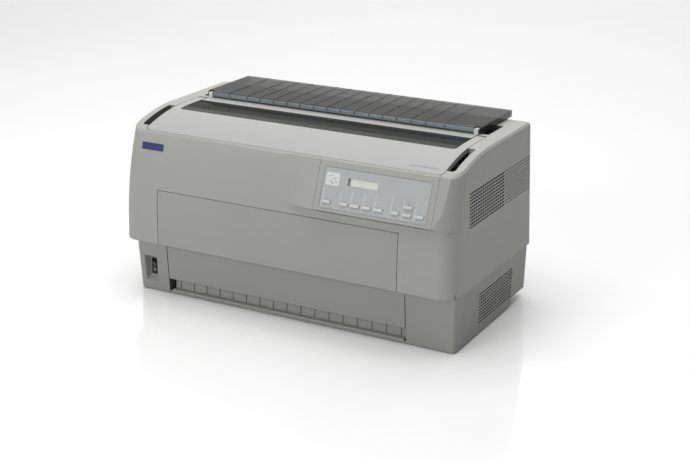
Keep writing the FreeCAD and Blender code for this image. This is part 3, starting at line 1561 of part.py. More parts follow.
def tractor_hinge(x, side):
    face = tractor_y - tractor_radius - tractor_band - tractor_pin_height - tractor_cover_gap
    return x + side * (tractor_width / 2 + tractor_hinge_out), face - tractor_cover_thick / 2


def tractor_lugs():
    low = tractor_middle_z - (tractor_lug_pitch + tractor_lug) / 2
    return low, low + tractor_lug_pitch


def tractor_cover(x, side):
    hinge_x, hinge_y = tractor_hinge(x, side)
    plate_x = sorted((hinge_x, x - side * tractor_width / 2))
    half_height = tractor_cover_height / 2
    plate = box(plate_x[0], plate_x[1], hinge_y - tractor_cover_thick / 2, hinge_y + tractor_cover_thick / 2,
                tractor_middle_z - half_height, tractor_middle_z + half_height)
    clear = tractor_lug_radius + thin_gap
    root = tractor_hinge_out + case_wall / 2
    reach = math.hypot(root, tractor_lug_radius + tractor_cover_thick / 2) + seam_gap
    notches = []
    for z in tractor_lugs():
        notch_x = sorted((hinge_x + side * overrun, hinge_x - side * reach))
        notches.append(box(notch_x[0], notch_x[1], hinge_y - clear, hinge_y + clear,
                           z - thin_gap, z + tractor_lug + thin_gap))
    pin = rod_z(hinge_x, hinge_y, tractor_middle_z - half_height, tractor_middle_z + half_height,
                tractor_hinge_radius)
    return fuse([cut(plate, notches), pin])


# Lock lever turning on the rail, against the outer side of its tractor
def tractor_lever(x, side):
    start = x + side * (tractor_width / 2 + lever_gap)
    x0, x1 = sorted((start, start + side * lever_width))
    ring = polygon_x(x0, x1, tractor_y, tractor_rail_z, lever_radius, hole_sides)
    arm = box(x0, x1, tractor_y - lever_length, tractor_y, tractor_rail_z - lever_thick,
              tractor_rail_z)
    arm.rotate(vec(x, tractor_y, tractor_rail_z), X_AXIS, lever_angle)
    bore = hole_x(x0 - overrun, x1 + overrun, tractor_y, tractor_rail_z,
                  tractor_rail_radius + slide_clearance)
    return fuse([ring, arm]).cut(bore)


def carriage():
    top = carriage_z + carriage_height
    block = box(-carriage_half, carriage_half, -carriage_front, -carriage_rear, carriage_z, top)
    corners = [e for e in block.Edges if e.BoundBox.XLength > carriage_half]
    block = block.makeChamfer(carriage_bevel, corners)
    saddle_top = platen_z - head_height / 2
    saddle = box(-head_half, head_half, -head_front, -carriage_rear - head_seat,
                 carriage_z + carriage_height / 2, saddle_top)
    strand_y = pulley_y - pulley_pitch_radius
    wall = clamp_wall
    clamp = box(-clamp_half, clamp_half, strand_y - wall - belt_gap, strand_y + wall + belt_gap,
                belt_z - belt_gap, carriage_z + case_wall)
    slot = box(-carriage_half, carriage_half, strand_y - belt_thick / 2 - belt_gap,
               strand_y + belt_thick / 2 + belt_gap, belt_z - overrun, belt_z + belt_height + belt_gap)
    tools = [slot]
    for y, radius in ((front_shaft_y, front_shaft_radius), (rear_shaft_y, rear_shaft_radius)):
        tools.append(hole_x(-carriage_half - overrun, carriage_half + overrun, y, shaft_z,
                            radius + slide_clearance))
    return cut(fuse([block, saddle, clamp]), tools)


# Print head: finned block with a narrow nose at the ribbon
def print_head():
    z0 = platen_z - head_height / 2
    z1 = z0 + head_height
    nose_root = head_tip_y - nose_length
    body = box(-head_half, head_half, -head_front, nose_root, z0, z1)
    nose = box(-nose_half, nose_half, nose_root - overrun, head_tip_y, platen_z - ribbon_height / 2,
               platen_z + ribbon_height / 2)
    pitch = (2 * head_half - fin_thick) / fin_count
    grooves = []
    for k in range(fin_count):
        x = -head_half + fin_thick + k * pitch
        grooves.append(box(x, x + pitch - fin_thick, -head_front - overrun, nose_root - overrun,
                           platen_z + ribbon_height / 2 - case_wall, z1 + overrun))
    return cut(fuse([body, nose]), grooves)


def timing_belt():
    band = band_x(belt_z, belt_z + belt_height, pulley_y, -pulley_x, pulley_y, pulley_x,
                  pulley_radius, belt_thick, pulley_teeth)
    band.rotate(ORIGIN, Y_AXIS, -90)
    return band


# Pulley turning on Z; the drive pulley carries the motor's shaft, the idler has a bore
def carriage_pulley(x, with_shaft):
    radius = pulley_radius * math.cos(math.pi / pulley_teeth) - belt_gap
    flange = radius + pulley_flange
    low = belt_z - belt_gap
    high = belt_z + belt_height + belt_gap
    wheel = fuse([polygon_z(x, pulley_y, low, high, radius, pulley_teeth),
                  polygon_z(x, pulley_y, low - pulley_rim, low, flange, pulley_teeth),
                  polygon_z(x, pulley_y, high, high + pulley_rim, flange, pulley_teeth)])
    if with_shaft:
        foot = belt_z - pulley_rim - carriage_motor_shaft
        return fuse([wheel, rod_z(x, pulley_y, foot, high, motor_shaft_radius)])
    return wheel.cut(hole_z(x, pulley_y, low - pulley_rim - overrun, high + pulley_rim + overrun,
                            motor_shaft_radius + pin_clearance))


def carriage_motor():
    top = belt_z - pulley_rim - 2 * bracket_thick - seat_gap
    body = polygon_z(-pulley_x, pulley_y, top - carriage_motor_height, top, carriage_motor_radius, hole_sides)
    return body.cut(hole_z(-pulley_x, pulley_y, top - carriage_motor_shaft, top + overrun,
                           motor_shaft_radius + pin_clearance))


# Wide ribbon cartridge on the frames' tabs, with an arm at each end
def ribbon_cartridge():
    half = frame_inner - cartridge_margin
    top = cartridge_foot + cartridge_height
    body = box(-half, half, -cartridge_front, -cartridge_rear, cartridge_foot, top)
    edges = [e for e in body.Edges if e.BoundBox.XLength > half and e.BoundBox.ZMin > cartridge_foot]
    pieces = [body.makeChamfer(arm_inset, edges)]
    for side in (1, -1):
        x0, x1 = sorted((side * arm_outer, side * (arm_outer - arm_width)))
        pieces.append(box(x0, x1, -cartridge_rear - overrun, ribbon_y - ribbon_thick - seat_gap,
                          cartridge_foot + arm_inset, top - arm_inset))
    well = hole_z(knob_x, knob_y, top - knob_stem - seat_gap, top + overrun, knob_stem_radius + pin_clearance)
    return fuse(pieces).cut(well)


def ink_ribbon():
    half = arm_outer - arm_width / 2
    return box(-half, half, ribbon_y - ribbon_thick, ribbon_y, platen_z - ribbon_height / 2,
               platen_z + ribbon_height / 2)


def ribbon_knob():
    top = cartridge_foot + cartridge_height
    knob = polygon_z(knob_x, knob_y, top + thin_gap, top + knob_height, knob_radius, knob_sides)
    reach = knob_radius - fin_thick
    grip = box(knob_x - reach, knob_x + reach, knob_y - fin_thick, knob_y + fin_thick,
               top + knob_height - case_wall, top + knob_height + case_wall)
    stem = rod_z(knob_x, knob_y, top - knob_stem, top + case_wall, knob_stem_radius)
    return fuse([knob, grip, stem])


# Bent plate below the rear opening, from the front of that opening to the frames' rear edge
def paper_exit_guide():
    half = frame_inner - seat_gap
    top = case_height - slot_depth - recess_wall - thin_gap
    y0 = rear_hole_y
    y1 = frame_rear
    z1 = case_height - frame_rear_drop
    wall = bracket_thick
    outline = [(y0, top - wall), (y0, top), (y0 + wall, top), (y1, z1), (y1, z1 - wall * 2)]
    return prism_x(outline, -half, half)


def fan_housing():
    x1 = -frame_half_span
    x0 = x1 - fan_depth
    half = fan_size / 2
    body = box(x0, x1, fan_y - half, fan_y + half, fan_z - half, fan_z + half)
    bore = fan_bore_radius / math.cos(math.pi / fan_bore_sides)
    body = body.cut(polygon_x(x0 - overrun, x1 + overrun, fan_y, fan_z, bore, fan_bore_sides))
    arm = fan_arm / 2
    end = half - case_wall
    spokes = [box(x0, x0 + fan_arm, fan_y - end, fan_y + end, fan_z - arm, fan_z + arm),
              box(x0, x0 + fan_arm, fan_y - arm, fan_y + arm, fan_z - end, fan_z + end),
              polygon_x(x0, x0 + fan_arm, fan_y, fan_z, fan_hub_radius, fan_hub_sides)]
    return fuse([body, *spokes])


def fan_rotor():
    x0 = -frame_half_span - fan_depth + fan_arm + thin_gap
    x1 = -frame_half_span - fan_side
    hub = rod_x(x0, x1, fan_y, fan_z, fan_hub_radius)
    pieces = [hub]
    middle = (x0 + x1) / 2
    for k in range(fan_blade_count):
        blade = box(x0 + fan_blade_inset, x1 - fan_blade_inset, -fan_blade_thick / 2, fan_blade_thick / 2,
                    fan_hub_radius - fan_blade_root, fan_bore_radius - fan_tip_gap)
        blade.rotate(vec(middle, 0, 0), Z_AXIS, fan_blade_angle)
        blade.rotate(ORIGIN, X_AXIS, 360 * k / fan_blade_count)
        blade.translate(vec(0, fan_y, fan_z))
        pieces.append(blade)
    return fuse(pieces)


# Circuit board on square spacers over the chassis plate
def board(x0, x1):
    y0 = main_board_front
    y1 = y0 + main_board_depth
    z0 = chassis_top + board_lift
    pieces = [box(x0, x1, y0, y1, z0, z0 + board_thick)]
    half = post_width / 2
    for x in (x0 + board_margin, x1 - board_margin):
        for y in (y0 + board_margin, y1 - board_margin):
            pieces.append(box(x - half, x + half, y - half, y + half, chassis_top, z0))
    return pieces, z0 + board_thick


def main_board():
    x0 = main_board_left
    length = main_board_right - x0
    y0 = main_board_front
    pieces, top = board(x0, main_board_right)
    for along, across in chip_places_share:
        x = x0 + along * length
        y = y0 + across * main_board_depth
        pieces.append(box(x - chip_side / 2, x + chip_side / 2, y - chip_side / 2, y + chip_side / 2,
                          top, top + chip_height))
    start, end = connector_span_share
    y = y0 + board_margin / 2
    pieces.append(box(x0 + length * start, x0 + length * end, y, y + connector_depth,
                      top, top + connector_height))
    return fuse(pieces)


def power_supply():
    x0 = supply_left
    x1 = x0 + supply_width
    y0 = main_board_front
    y1 = y0 + main_board_depth
    pieces, top = board(x0, x1)
    side_x = x0 + supply_margin
    side_y = y0 + transformer_setback
    pieces.append(box(side_x, side_x + transformer_side, side_y, side_y + transformer_side,
                      top, top + transformer_side))
    for k in range(capacitor_count):
        pieces.append(polygon_z(x1 - capacitor_margin - capacitor_pitch * k, y1 - capacitor_margin, top,
                                top + capacitor_height, capacitor_radius, capacitor_sides))
    sink_x = x1 - supply_margin
    sink_y = y0 + supply_margin
    pieces.append(box(sink_x, sink_x + heat_sink_thick, sink_y, sink_y + heat_sink_length, top,
                      top + heat_sink_height))
    return fuse(pieces)


# Three-pin mains inlet let into the rear wall
def ac_inlet():
    x0 = inlet_x - inlet_width / 2
    x1 = inlet_x + inlet_width / 2
    z0 = inlet_z - inlet_height / 2
    z1 = inlet_z + inlet_height / 2
    face = base_rear
    rim = inlet_rim
    block = fuse([box(x0, x1, face - inlet_depth, face, z0, z1),
                  box(x0 - rim, x1 + rim, face, face + inlet_bezel, z0 - rim, z1 + rim)])
    socket = box(x0 + rim, x1 - rim, face - inlet_depth + rim, face + inlet_bezel + overrun,
                 z0 + rim, z1 - rim)
    keys = []
    for k in (-1, 0, 1):
        x = inlet_x + k * inlet_pin_pitch
        z = inlet_z + (inlet_pin_height / 2 if k == 0 else -inlet_pin_height / 2)
        keys.append(box(x - inlet_pin_width / 2, x + inlet_pin_width / 2, face - inlet_depth + rim / 2,
                        face - inlet_pin_back, z - inlet_pin_height / 2, z + inlet_pin_height / 2))
    return fuse([block.cut(socket), *keys])


# Interface plate with a wide connector, a small one and a blanked slot
def interface_ports():
    x0 = ports_x - ports_width / 2
    x1 = ports_x + ports_width / 2
    z0 = ports_z - ports_height / 2
    z1 = ports_z + ports_height / 2
    face = base_rear
    rim = ports_rim
    plate = fuse([box(x0, x1, face, face + ports_plate, z0, z1),
                  box(x0 + rim + seat_gap, x1 - rim - seat_gap, face - ports_depth, face,
                      z0 + rim + seat_gap, z1 - rim - seat_gap)])
    left = x0 + rim * 2
    half = socket_height / 2
    lip = ports_plate
    shell = box(left, left + socket_width, face, face + socket_shell, ports_z - half, ports_z + half)
    socket = box(left + lip, left + socket_width - lip, face - socket_depth, face + socket_shell + overrun,
                 ports_z - half + lip, ports_z + half - lip)
    right = x1 - small_socket_margin
    half = small_socket / 2
    port = box(right - small_socket, right, face - socket_depth, face + overrun,
               ports_z - half, ports_z + half)
    return cut(fuse([plate, shell]), [socket, port])


def parts_list():
    parts = {
        "upper_case": upper_case(),
        "base_case": base_case(),
        "vent_slats": vent_slats(),
        "rubber_feet": rubber_feet(),
        "control_panel": control_panel(),
        "panel_sheet": panel_sheet(),
        "panel_board": panel_board(),
        "lcd_display": lcd_display(),
        "badge_plate": badge_plate(),
        "front_cover": front_cover(),
        "lower_front_cover": lower_front_cover(),
        "printer_cover": printer_cover(),
        "cover_window": cover_window(),
        "rear_cover": rear_cover(),
        "rear_cover_brackets": rear_cover_brackets(),
        "paper_entry_guide": paper_entry_guide(),
        "power_switch_body": power_switch_body(),
        "power_rocker": power_rocker(),
        "chassis_plate": chassis_plate(),
        "side_frame_left": side_frame(True),
        "side_frame_right": side_frame(False),
        "guide_shafts": guide_shafts(),
        "platen": platen(),
        "platen_gear": platen_gear(),
        "feed_pinion": feed_pinion(),
        "feed_motor": feed_motor(),
        "feed_belt": feed_belt(),
        "tractor_shaft": tractor_shaft(),
        "tractor_pulley": feed_pulley(tractor_y, tractor_shaft_z, tractor_journal_radius),
        "carriage": carriage(),
        "print_head": print_head(),
        "timing_belt": timing_belt(),
        "drive_pulley": carriage_pulley(-pulley_x, True),
        "idler_pulley": carriage_pulley(pulley_x, False),
        "carriage_motor": carriage_motor(),
        "ribbon_cartridge": ribbon_cartridge(),
        "ink_ribbon": ink_ribbon(),
        "ribbon_knob": ribbon_knob(),
        "paper_exit_guide": paper_exit_guide(),
        "fan_housing": fan_housing(),
        "fan_rotor": fan_rotor(),
        "main_board": main_board(),
        "power_supply": power_supply(),
        "ac_inlet": ac_inlet(),
        "interface_ports": interface_ports(),
    }
    for name, x, side in (("left", -tractor_x, -1), ("right", tractor_x, 1)):
        parts["tractor_" + name] = tractor(x, side)
        parts["tractor_cover_" + name] = tractor_cover(x, side)
        parts["tractor_lever_" + name] = tractor_lever(x, side)
    for number, (x, up) in enumerate(button_centres()):
        parts["button_" + str(number + 1)] = button(x, up)
    return parts


os.makedirs("parts", exist_ok=True)
for name, shape in parts_list().items():
    shape.exportStep("parts/" + name + ".step")
    print(name, len(shape.Solids), round(shape.Volume))
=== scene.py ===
import bpy
import bmesh
import json
import math
import numpy as np
from mathutils import Matrix, Vector
from mathutils.bvhtree import BVHTree

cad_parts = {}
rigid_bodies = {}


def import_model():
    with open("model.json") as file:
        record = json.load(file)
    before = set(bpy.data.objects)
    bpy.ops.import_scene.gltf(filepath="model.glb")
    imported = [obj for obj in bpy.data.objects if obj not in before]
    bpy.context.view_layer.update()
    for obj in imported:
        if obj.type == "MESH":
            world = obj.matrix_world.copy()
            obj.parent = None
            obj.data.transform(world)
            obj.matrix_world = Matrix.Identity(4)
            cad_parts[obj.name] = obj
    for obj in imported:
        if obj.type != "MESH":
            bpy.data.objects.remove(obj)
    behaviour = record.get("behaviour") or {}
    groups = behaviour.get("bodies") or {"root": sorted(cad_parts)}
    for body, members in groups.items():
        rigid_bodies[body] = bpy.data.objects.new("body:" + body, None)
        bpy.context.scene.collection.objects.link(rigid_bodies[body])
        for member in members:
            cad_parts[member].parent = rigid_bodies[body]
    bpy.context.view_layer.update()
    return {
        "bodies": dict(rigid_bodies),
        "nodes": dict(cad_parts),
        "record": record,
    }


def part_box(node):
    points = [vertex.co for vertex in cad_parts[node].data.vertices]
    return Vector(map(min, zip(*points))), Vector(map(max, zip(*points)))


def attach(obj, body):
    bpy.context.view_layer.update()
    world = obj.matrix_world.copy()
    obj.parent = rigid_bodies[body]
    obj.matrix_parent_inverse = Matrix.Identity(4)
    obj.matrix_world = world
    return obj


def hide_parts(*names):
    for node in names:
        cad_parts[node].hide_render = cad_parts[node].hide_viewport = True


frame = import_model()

nodes = frame["nodes"]
slotOf = {part["node"]: part["material_slot"] for part in frame["record"]["subparts"]}
bodyOf = {}
for bodyName, empty in frame["bodies"].items():
    for nodeName, node in nodes.items():
        if node.parent == empty:
            bodyOf[nodeName] = bodyName
print("frame loaded:", len(nodes), "nodes")

# Camera, placed by a target, three turns and a distance
cameraValues = {
    "target": (0.03576, 0.0067, 0.12763),
    "yaw": 28.416,        # degrees that it stands to the right of the front
    "pitch": 18.997,      # degrees above the floor
    "roll": 0.2945,       # degrees
    "distance": 2.72071,
    "lens": 74.017,       # millimetres, as the sensor's width
    "sensorWidth": 36.0,
    "clip": (0.05, 50.0),
}


# The view looks ahead, turned by yaw and tipped down by pitch. Right and up stand square to it,
# and the roll mixes the two by its cosine and sine
def makeCamera(values):
    yaw, pitch, roll = (math.radians(values[key]) for key in ("yaw", "pitch", "roll"))
    ahead = Vector((-math.sin(yaw) * math.cos(pitch), math.cos(yaw) * math.cos(pitch), -math.sin(pitch)))
    levelRight = Vector((math.cos(yaw), math.sin(yaw), 0.0))
    levelUp = levelRight.cross(ahead)
    right = levelRight * math.cos(roll) + levelUp * math.sin(roll)
    up = levelUp * math.cos(roll) - levelRight * math.sin(roll)
    place = Vector(values["target"]) - ahead * values["distance"]
    data = bpy.data.cameras.new("photoCamera")
    data.lens = values["lens"]
    data.sensor_width = values["sensorWidth"]
    data.sensor_fit = "HORIZONTAL"
    data.clip_start, data.clip_end = values["clip"]
    camera = bpy.data.objects.new("photoCamera", data)
    turn = Matrix((right, up, -ahead)).transposed()
    camera.matrix_world = Matrix.Translation(place) @ turn.to_4x4()
    bpy.context.scene.collection.objects.link(camera)
    bpy.context.scene.camera = camera


makeCamera(cameraValues)


# Materials: a new one with its node tree and its shader
def newMaterial(name):
    material = bpy.data.materials.new(name)
    material.use_nodes = True
    tree = material.node_tree
    return material, tree, tree.nodes["Principled BSDF"]


# Place on the piece in metres, times a scale along each axis
def objectCoordinates(tree, scale=(1.0, 1.0, 1.0)):
    source = tree.nodes.new("ShaderNodeTexCoord")
    mapping = tree.nodes.new("ShaderNodeMapping")
    mapping.inputs["Scale"].default_value = scale
    tree.links.new(source.outputs["Object"], mapping.inputs["Vector"])
    return mapping.outputs["Vector"]


# Cloudy value from 0 to 1, with about as many clouds to the metre as its scale
def noise(tree, vector, scale, detail=3.0, roughness=0.5):
    node = tree.nodes.new("ShaderNodeTexNoise")
    node.inputs["Scale"].default_value = scale
    node.inputs["Detail"].default_value = detail
    node.inputs["Roughness"].default_value = roughness
    tree.links.new(vector, node.inputs["Vector"])
    return node.outputs["Fac"]


# Value carried in even proportion from one span to another, and held at its ends
def remap(tree, value, low, high, fromLow=0.0, fromHigh=1.0):
    node = tree.nodes.new("ShaderNodeMapRange")
    node.inputs["From Min"].default_value = fromLow
    node.inputs["From Max"].default_value = fromHigh
    node.inputs["To Min"].default_value = low
    node.inputs["To Max"].default_value = high
    tree.links.new(value, node.inputs["Value"])
    return node.outputs["Result"]


# Colour read off between stops, each with a place from 0 to 1 and a colour
def ramp(tree, value, stops):
    node = tree.nodes.new("ShaderNodeValToRGB")
    while len(node.color_ramp.elements) < len(stops):
        node.color_ramp.elements.new(0.5)
    for element, (place, colour) in zip(node.color_ramp.elements, stops):
        element.position = place
        element.color = (*colour, 1.0)
    tree.links.new(value, node.inputs["Fac"])
    return node.outputs["Color"]


# One step of arithmetic on two values, each a number or another node's output
def mathNode(tree, operation, first, second):
    node = tree.nodes.new("ShaderNodeMath")
    node.operation = operation
    for socket, value in zip(node.inputs, (first, second)):
        if isinstance(value, (int, float)):
            socket.default_value = value
        else:
            tree.links.new(value, socket)
    return node.outputs["Value"]


# First colour at a factor of 0, second at 1, or the two joined as the blend says
def mixColour(tree, factor, first, second, blend="MIX"):
    node = tree.nodes.new("ShaderNodeMixRGB")
    node.blend_type = blend
    for name, value in (("Fac", factor), ("Color1", first), ("Color2", second)):
        if isinstance(value, (int, float)):
            node.inputs[name].default_value = value
        elif isinstance(value, tuple):
            node.inputs[name].default_value = (*value, 1.0)
        else:
            tree.links.new(value, node.inputs[name])
    return node.outputs["Color"]


# Place along one axis of the piece
def axisValue(tree, axis):
    split = tree.nodes.new("ShaderNodeSeparateXYZ")
    tree.links.new(objectCoordinates(tree), split.inputs["Vector"])
    return split.outputs[axis]


# Colour times a factor, with no channel above 1
def shade(colour, factor):
    return tuple(min(1.0, c * factor) for c in colour)


# Colour that goes from one shade of itself to another between two stops of a value
def shadedTone(tree, value, colour, stops, factors):
    return ramp(tree, value, [(stop, shade(colour, factor)) for stop, factor in zip(stops, factors)])


# Roughness that swings about its middle with a value, by the spread's two ends
def spreadRoughness(tree, shader, value, middle, spread, stops):
    low, high = (middle + end for end in spread)
    tree.links.new(remap(tree, value, low, high, *stops), shader.inputs["Roughness"])


roundingSamples = 4


# Normal of the surface with its edges rounded to a radius
def roundedNormal(tree, radius):
    node = tree.nodes.new("ShaderNodeBevel")
    node.samples = roundingSamples
    node.inputs["Radius"].default_value = radius
    return node.outputs["Normal"]


# Normal leaned by the slope of a height, where 1 stands for the depth in metres
def addBump(tree, shader, height, normal, strength, depth):
    node = tree.nodes.new("ShaderNodeBump")
    node.inputs["Strength"].default_value = strength
    node.inputs["Distance"].default_value = depth
    tree.links.new(height, node.inputs["Height"])
    tree.links.new(normal, node.inputs["Normal"])
    tree.links.new(node.outputs["Normal"], shader.inputs["Normal"])


# What each moulded plastic has where its own row doesn't say otherwise. A noise has its scale,
# its detail and its roughness
mouldedValues = {
    "cloudNoise": (9.0, 4.0),
    "cloudStops": (0.25, 0.75),
    "cloudShades": (0.98, 1.02),
    "grainNoise": (1500.0, 2.0, 0.6),
    "grainTones": [(0.35, (0.7, 0.7, 0.7)), (0.65, (1.0, 1.0, 1.0))],
    "speck": 0.1,              # how far the grain darkens the tone
    "grain": 0.22,             # how strongly the grain stands up
    "grainDepth": 0.0002,
    "edge": 0.0006,            # radius of the edges
    # Painted highlight: how far an edge turns paler, standing in for light caught on its rounding
    "edgeHighlight": 0.25,              # how far an edge turns paler
    "edgeHighlightTurn": (0.75, 0.99),  # cosines between the two normals where it does
    "edgeHighlightShade": 1.35,
    "roughness": 0.55,
    "roughnessSpread": (-0.05, 0.06),
    "smearNoise": (35.0, 3.0),
    "smearStops": (0.3, 0.7),
    "specular": 0.35,
}


# Moulded plastic: a cloudy tone times a fine spark-eroded grain. The cosine between the rounded
# normal and the face's own is least at an edge, and the tone turns paler there as a painted highlight
def mouldedPlastic(name, ownValues):
    values = {**mouldedValues, **ownValues}
    material, tree, shader = newMaterial(name)
    vector = objectCoordinates(tree)
    cloud = noise(tree, vector, *values["cloudNoise"])
    tone = shadedTone(tree, cloud, values["colour"], values["cloudStops"], values["cloudShades"])
    speck = noise(tree, vector, *values["grainNoise"])
    tone = mixColour(tree, values["speck"], tone, ramp(tree, speck, values["grainTones"]), "MULTIPLY")
    rounding = roundedNormal(tree, values["edge"])
    shape = tree.nodes.new("ShaderNodeTexCoord")
    cosine = tree.nodes.new("ShaderNodeVectorMath")
    cosine.operation = "DOT_PRODUCT"
    tree.links.new(rounding, cosine.inputs[0])
    tree.links.new(shape.outputs["Normal"], cosine.inputs[1])
    # Painted highlight along the edges, where the rounded normal parts from the face's own
    paintedEdgeHighlight = remap(tree, cosine.outputs["Value"], values["edgeHighlight"], 0.0, *values["edgeHighlightTurn"])
    tone = mixColour(tree, paintedEdgeHighlight, tone, shade(values["colour"], values["edgeHighlightShade"]))
    # Faces marked inner take a dark tone: painted shade in slots and recesses
    if "paintedShadeTone" in values:
        mark = tree.nodes.new("ShaderNodeAttribute")
        mark.attribute_name = "inner"
        tone = mixColour(tree, mark.outputs["Fac"], tone, values["paintedShadeTone"])
    tree.links.new(tone, shader.inputs["Base Color"])
    smear = noise(tree, vector, *values["smearNoise"])
    spreadRoughness(tree, shader, smear, values["roughness"], values["roughnessSpread"], values["smearStops"])
    addBump(tree, shader, speck, rounding, values["grain"], values["grainDepth"])
    shader.inputs["Specular IOR Level"].default_value = values["specular"]
    return material


plasticValues = {
    # The second tone of the two shells is painted shade for their faces in slots and recesses
    "casePlastic": {"colour": (0.345, 0.345, 0.325), "paintedShadeTone": (0.10, 0.105, 0.10)},
    "basePlastic": {"colour": (0.290, 0.290, 0.273), "paintedShadeTone": (0.10, 0.105, 0.10)},
    # The guide's tone is paler than the case's: painted light on its recessed face, which lies in shadow
    "guidePlastic": {"colour": (0.370, 0.370, 0.352), "edgeHighlight": 0.05},
    "flapPlastic": {"colour": (0.325, 0.325, 0.305)},
    "topPlastic": {"colour": (0.350, 0.350, 0.346)},
    "footRubber": {"colour": (0.03, 0.03, 0.03), "roughness": 0.85, "grain": 0.4, "specular": 0.2},
    "panelFilm": {"colour": (0.357, 0.380, 0.389), "roughness": 0.40, "grain": 0.08, "edge": 0.0002},
    "boardLacquer": {"colour": (0.02, 0.12, 0.05), "roughness": 0.35, "grain": 0.1},
    "displayFace": {"colour": (0.76, 0.83, 0.72), "roughness": 0.3, "grain": 0.05},
    "badgeEnamel": {"colour": (0.020, 0.034, 0.16), "roughness": 0.35, "grain": 0.05, "edge": 0.0003},
    "whitePlastic": {"colour": (0.70, 0.70, 0.68), "roughness": 0.45},
    "blackPlastic": {"colour": (0.026, 0.026, 0.027), "roughness": 0.42, "grain": 0.2},
    "platenRubber": {"colour": (0.035, 0.036, 0.038), "roughness": 0.6, "grain": 0.3},
    "gearNylon": {"colour": (0.62, 0.60, 0.52), "roughness": 0.45},
    "beltRubber": {"colour": (0.02, 0.02, 0.02), "roughness": 0.8},
    "leverPlastic": {"colour": (0.05, 0.20, 0.33), "roughness": 0.45},
    "buttonPlastic": {"colour": (0.54, 0.53, 0.51), "roughness": 0.42, "edge": 0.0008},
    "ribbonCloth": {"colour": (0.01, 0.01, 0.014), "roughness": 0.9, "grain": 0.6},
    "whitePrint": {"colour": (0.60, 0.62, 0.63), "roughness": 0.5, "edge": 0.00005, "grain": 0.05},
    "greyPrint": {"colour": (0.16, 0.17, 0.18), "roughness": 0.5, "edge": 0.00005, "grain": 0.05},
    "tealPrint": {"colour": (0.10, 0.30, 0.33), "roughness": 0.5, "edge": 0.00005, "grain": 0.05},
    "redPrint": {"colour": (0.42, 0.14, 0.15), "roughness": 0.5, "edge": 0.00005, "grain": 0.05},
    "amberLens": {"colour": (0.62, 0.50, 0.36), "roughness": 0.25, "edge": 0.0001, "grain": 0.03},
    "stripFoil": {"colour": (0.27, 0.27, 0.285), "roughness": 0.4, "edge": 0.00005, "grain": 0.05},
    "chipEpoxy": {"colour": (0.025, 0.025, 0.027), "roughness": 0.5, "grain": 0.3},
}
materials = {name: mouldedPlastic(name, values) for name, values in plasticValues.items()}

# Smoked plastic. The change is a place along Y and half the width of the step there; clear is
# an alpha of 0
smokedValues = {
    "smokedWindow": {
        "colour": (0.015, 0.0145, 0.013), "secondColour": (0.013, 0.015, 0.016), "change": (-0.0195, 0.001),
        "specular": 0.03, "alpha": 0.93, "secondAlpha": 0.92,
    },
    "smokedCover": {
        # Its pale blue-grey first colour, ahead of the change, is a painted reflection on the front face
        "colour": (0.24, 0.27, 0.29), "secondColour": (0.034, 0.034, 0.032), "change": (0.0386, 0.0003),
        "specular": 0.20, "alpha": 0.88, "secondAlpha": 0.79,
        # Ribs ahead of the front face keep a dark smoked tone, outside the painted reflection
        "ribFace": 0.0377, "ribColour": (0.03, 0.03, 0.032),
        "toothPitch": 0.005, "toothGap": 0.45, "toothRoot": 0.1896,
    },
}
hazeValues = {
    "hazeNoise": (14.0, 3.0),
    "hazeStops": (0.3, 0.7),
    "hazeShades": (0.92, 1.06),
    "roughness": 0.12,
    "roughnessSpread": (-0.02, 0.04),
    "refraction": 1.5,
    "edge": 0.0007,
    "rippleNoise": (60.0, 2.0),
    "ripple": 0.04,
    "rippleDepth": 0.0002,
}


# Smoked plastic is partly clear and hazy. Beyond a place along Y it takes a second tone, and
# ribs ahead of its front face take one of their own. Teeth along its rear edge are cut by
# making it clear where the remainder of X over the pitch is less than the gap's share of it
def smokedPlastic(name, ownValues):
    values = {**hazeValues, **ownValues}
    material, tree, shader = newMaterial(name)
    vector = objectCoordinates(tree)
    haze = noise(tree, vector, *values["hazeNoise"])
    tone = shadedTone(tree, haze, values["colour"], values["hazeStops"], values["hazeShades"])
    along = axisValue(tree, "Y")
    change, width = values["change"]
    part = remap(tree, along, 0.0, 1.0, change - width, change + width)
    # On the cover the first tone, ahead of the change, is a painted reflection on its front face
    tone = mixColour(tree, part, tone, values["secondColour"])
    if "ribFace" in values:
        ahead = mathNode(tree, "LESS_THAN", along, values["ribFace"])
        tone = mixColour(tree, ahead, tone, values["ribColour"])
    tree.links.new(tone, shader.inputs["Base Color"])
    spreadRoughness(tree, shader, haze, values["roughness"], values["roughnessSpread"], values["hazeStops"])
    shader.inputs["IOR"].default_value = values["refraction"]
    shader.inputs["Specular IOR Level"].default_value = values["specular"]
    alpha = remap(tree, part, values["alpha"], values["secondAlpha"])
    if "toothPitch" in values:
        pitches = mathNode(tree, "DIVIDE", axisValue(tree, "X"), values["toothPitch"])
        gap = mathNode(tree, "LESS_THAN", mathNode(tree, "FRACT", pitches, 0.0), values["toothGap"])
        behind = mathNode(tree, "GREATER_THAN", along, values["toothRoot"])
        kept = mathNode(tree, "SUBTRACT", 1.0, mathNode(tree, "MULTIPLY", gap, behind))
        alpha = mathNode(tree, "MULTIPLY", alpha, kept)
    tree.links.new(alpha, shader.inputs["Alpha"])
    ripple = noise(tree, vector, *values["rippleNoise"])
    rounding = roundedNormal(tree, values["edge"])
    addBump(tree, shader, ripple, rounding, values["ripple"], values["rippleDepth"])
    return material


for name, values in smokedValues.items():
    materials[name] = smokedPlastic(name, values)

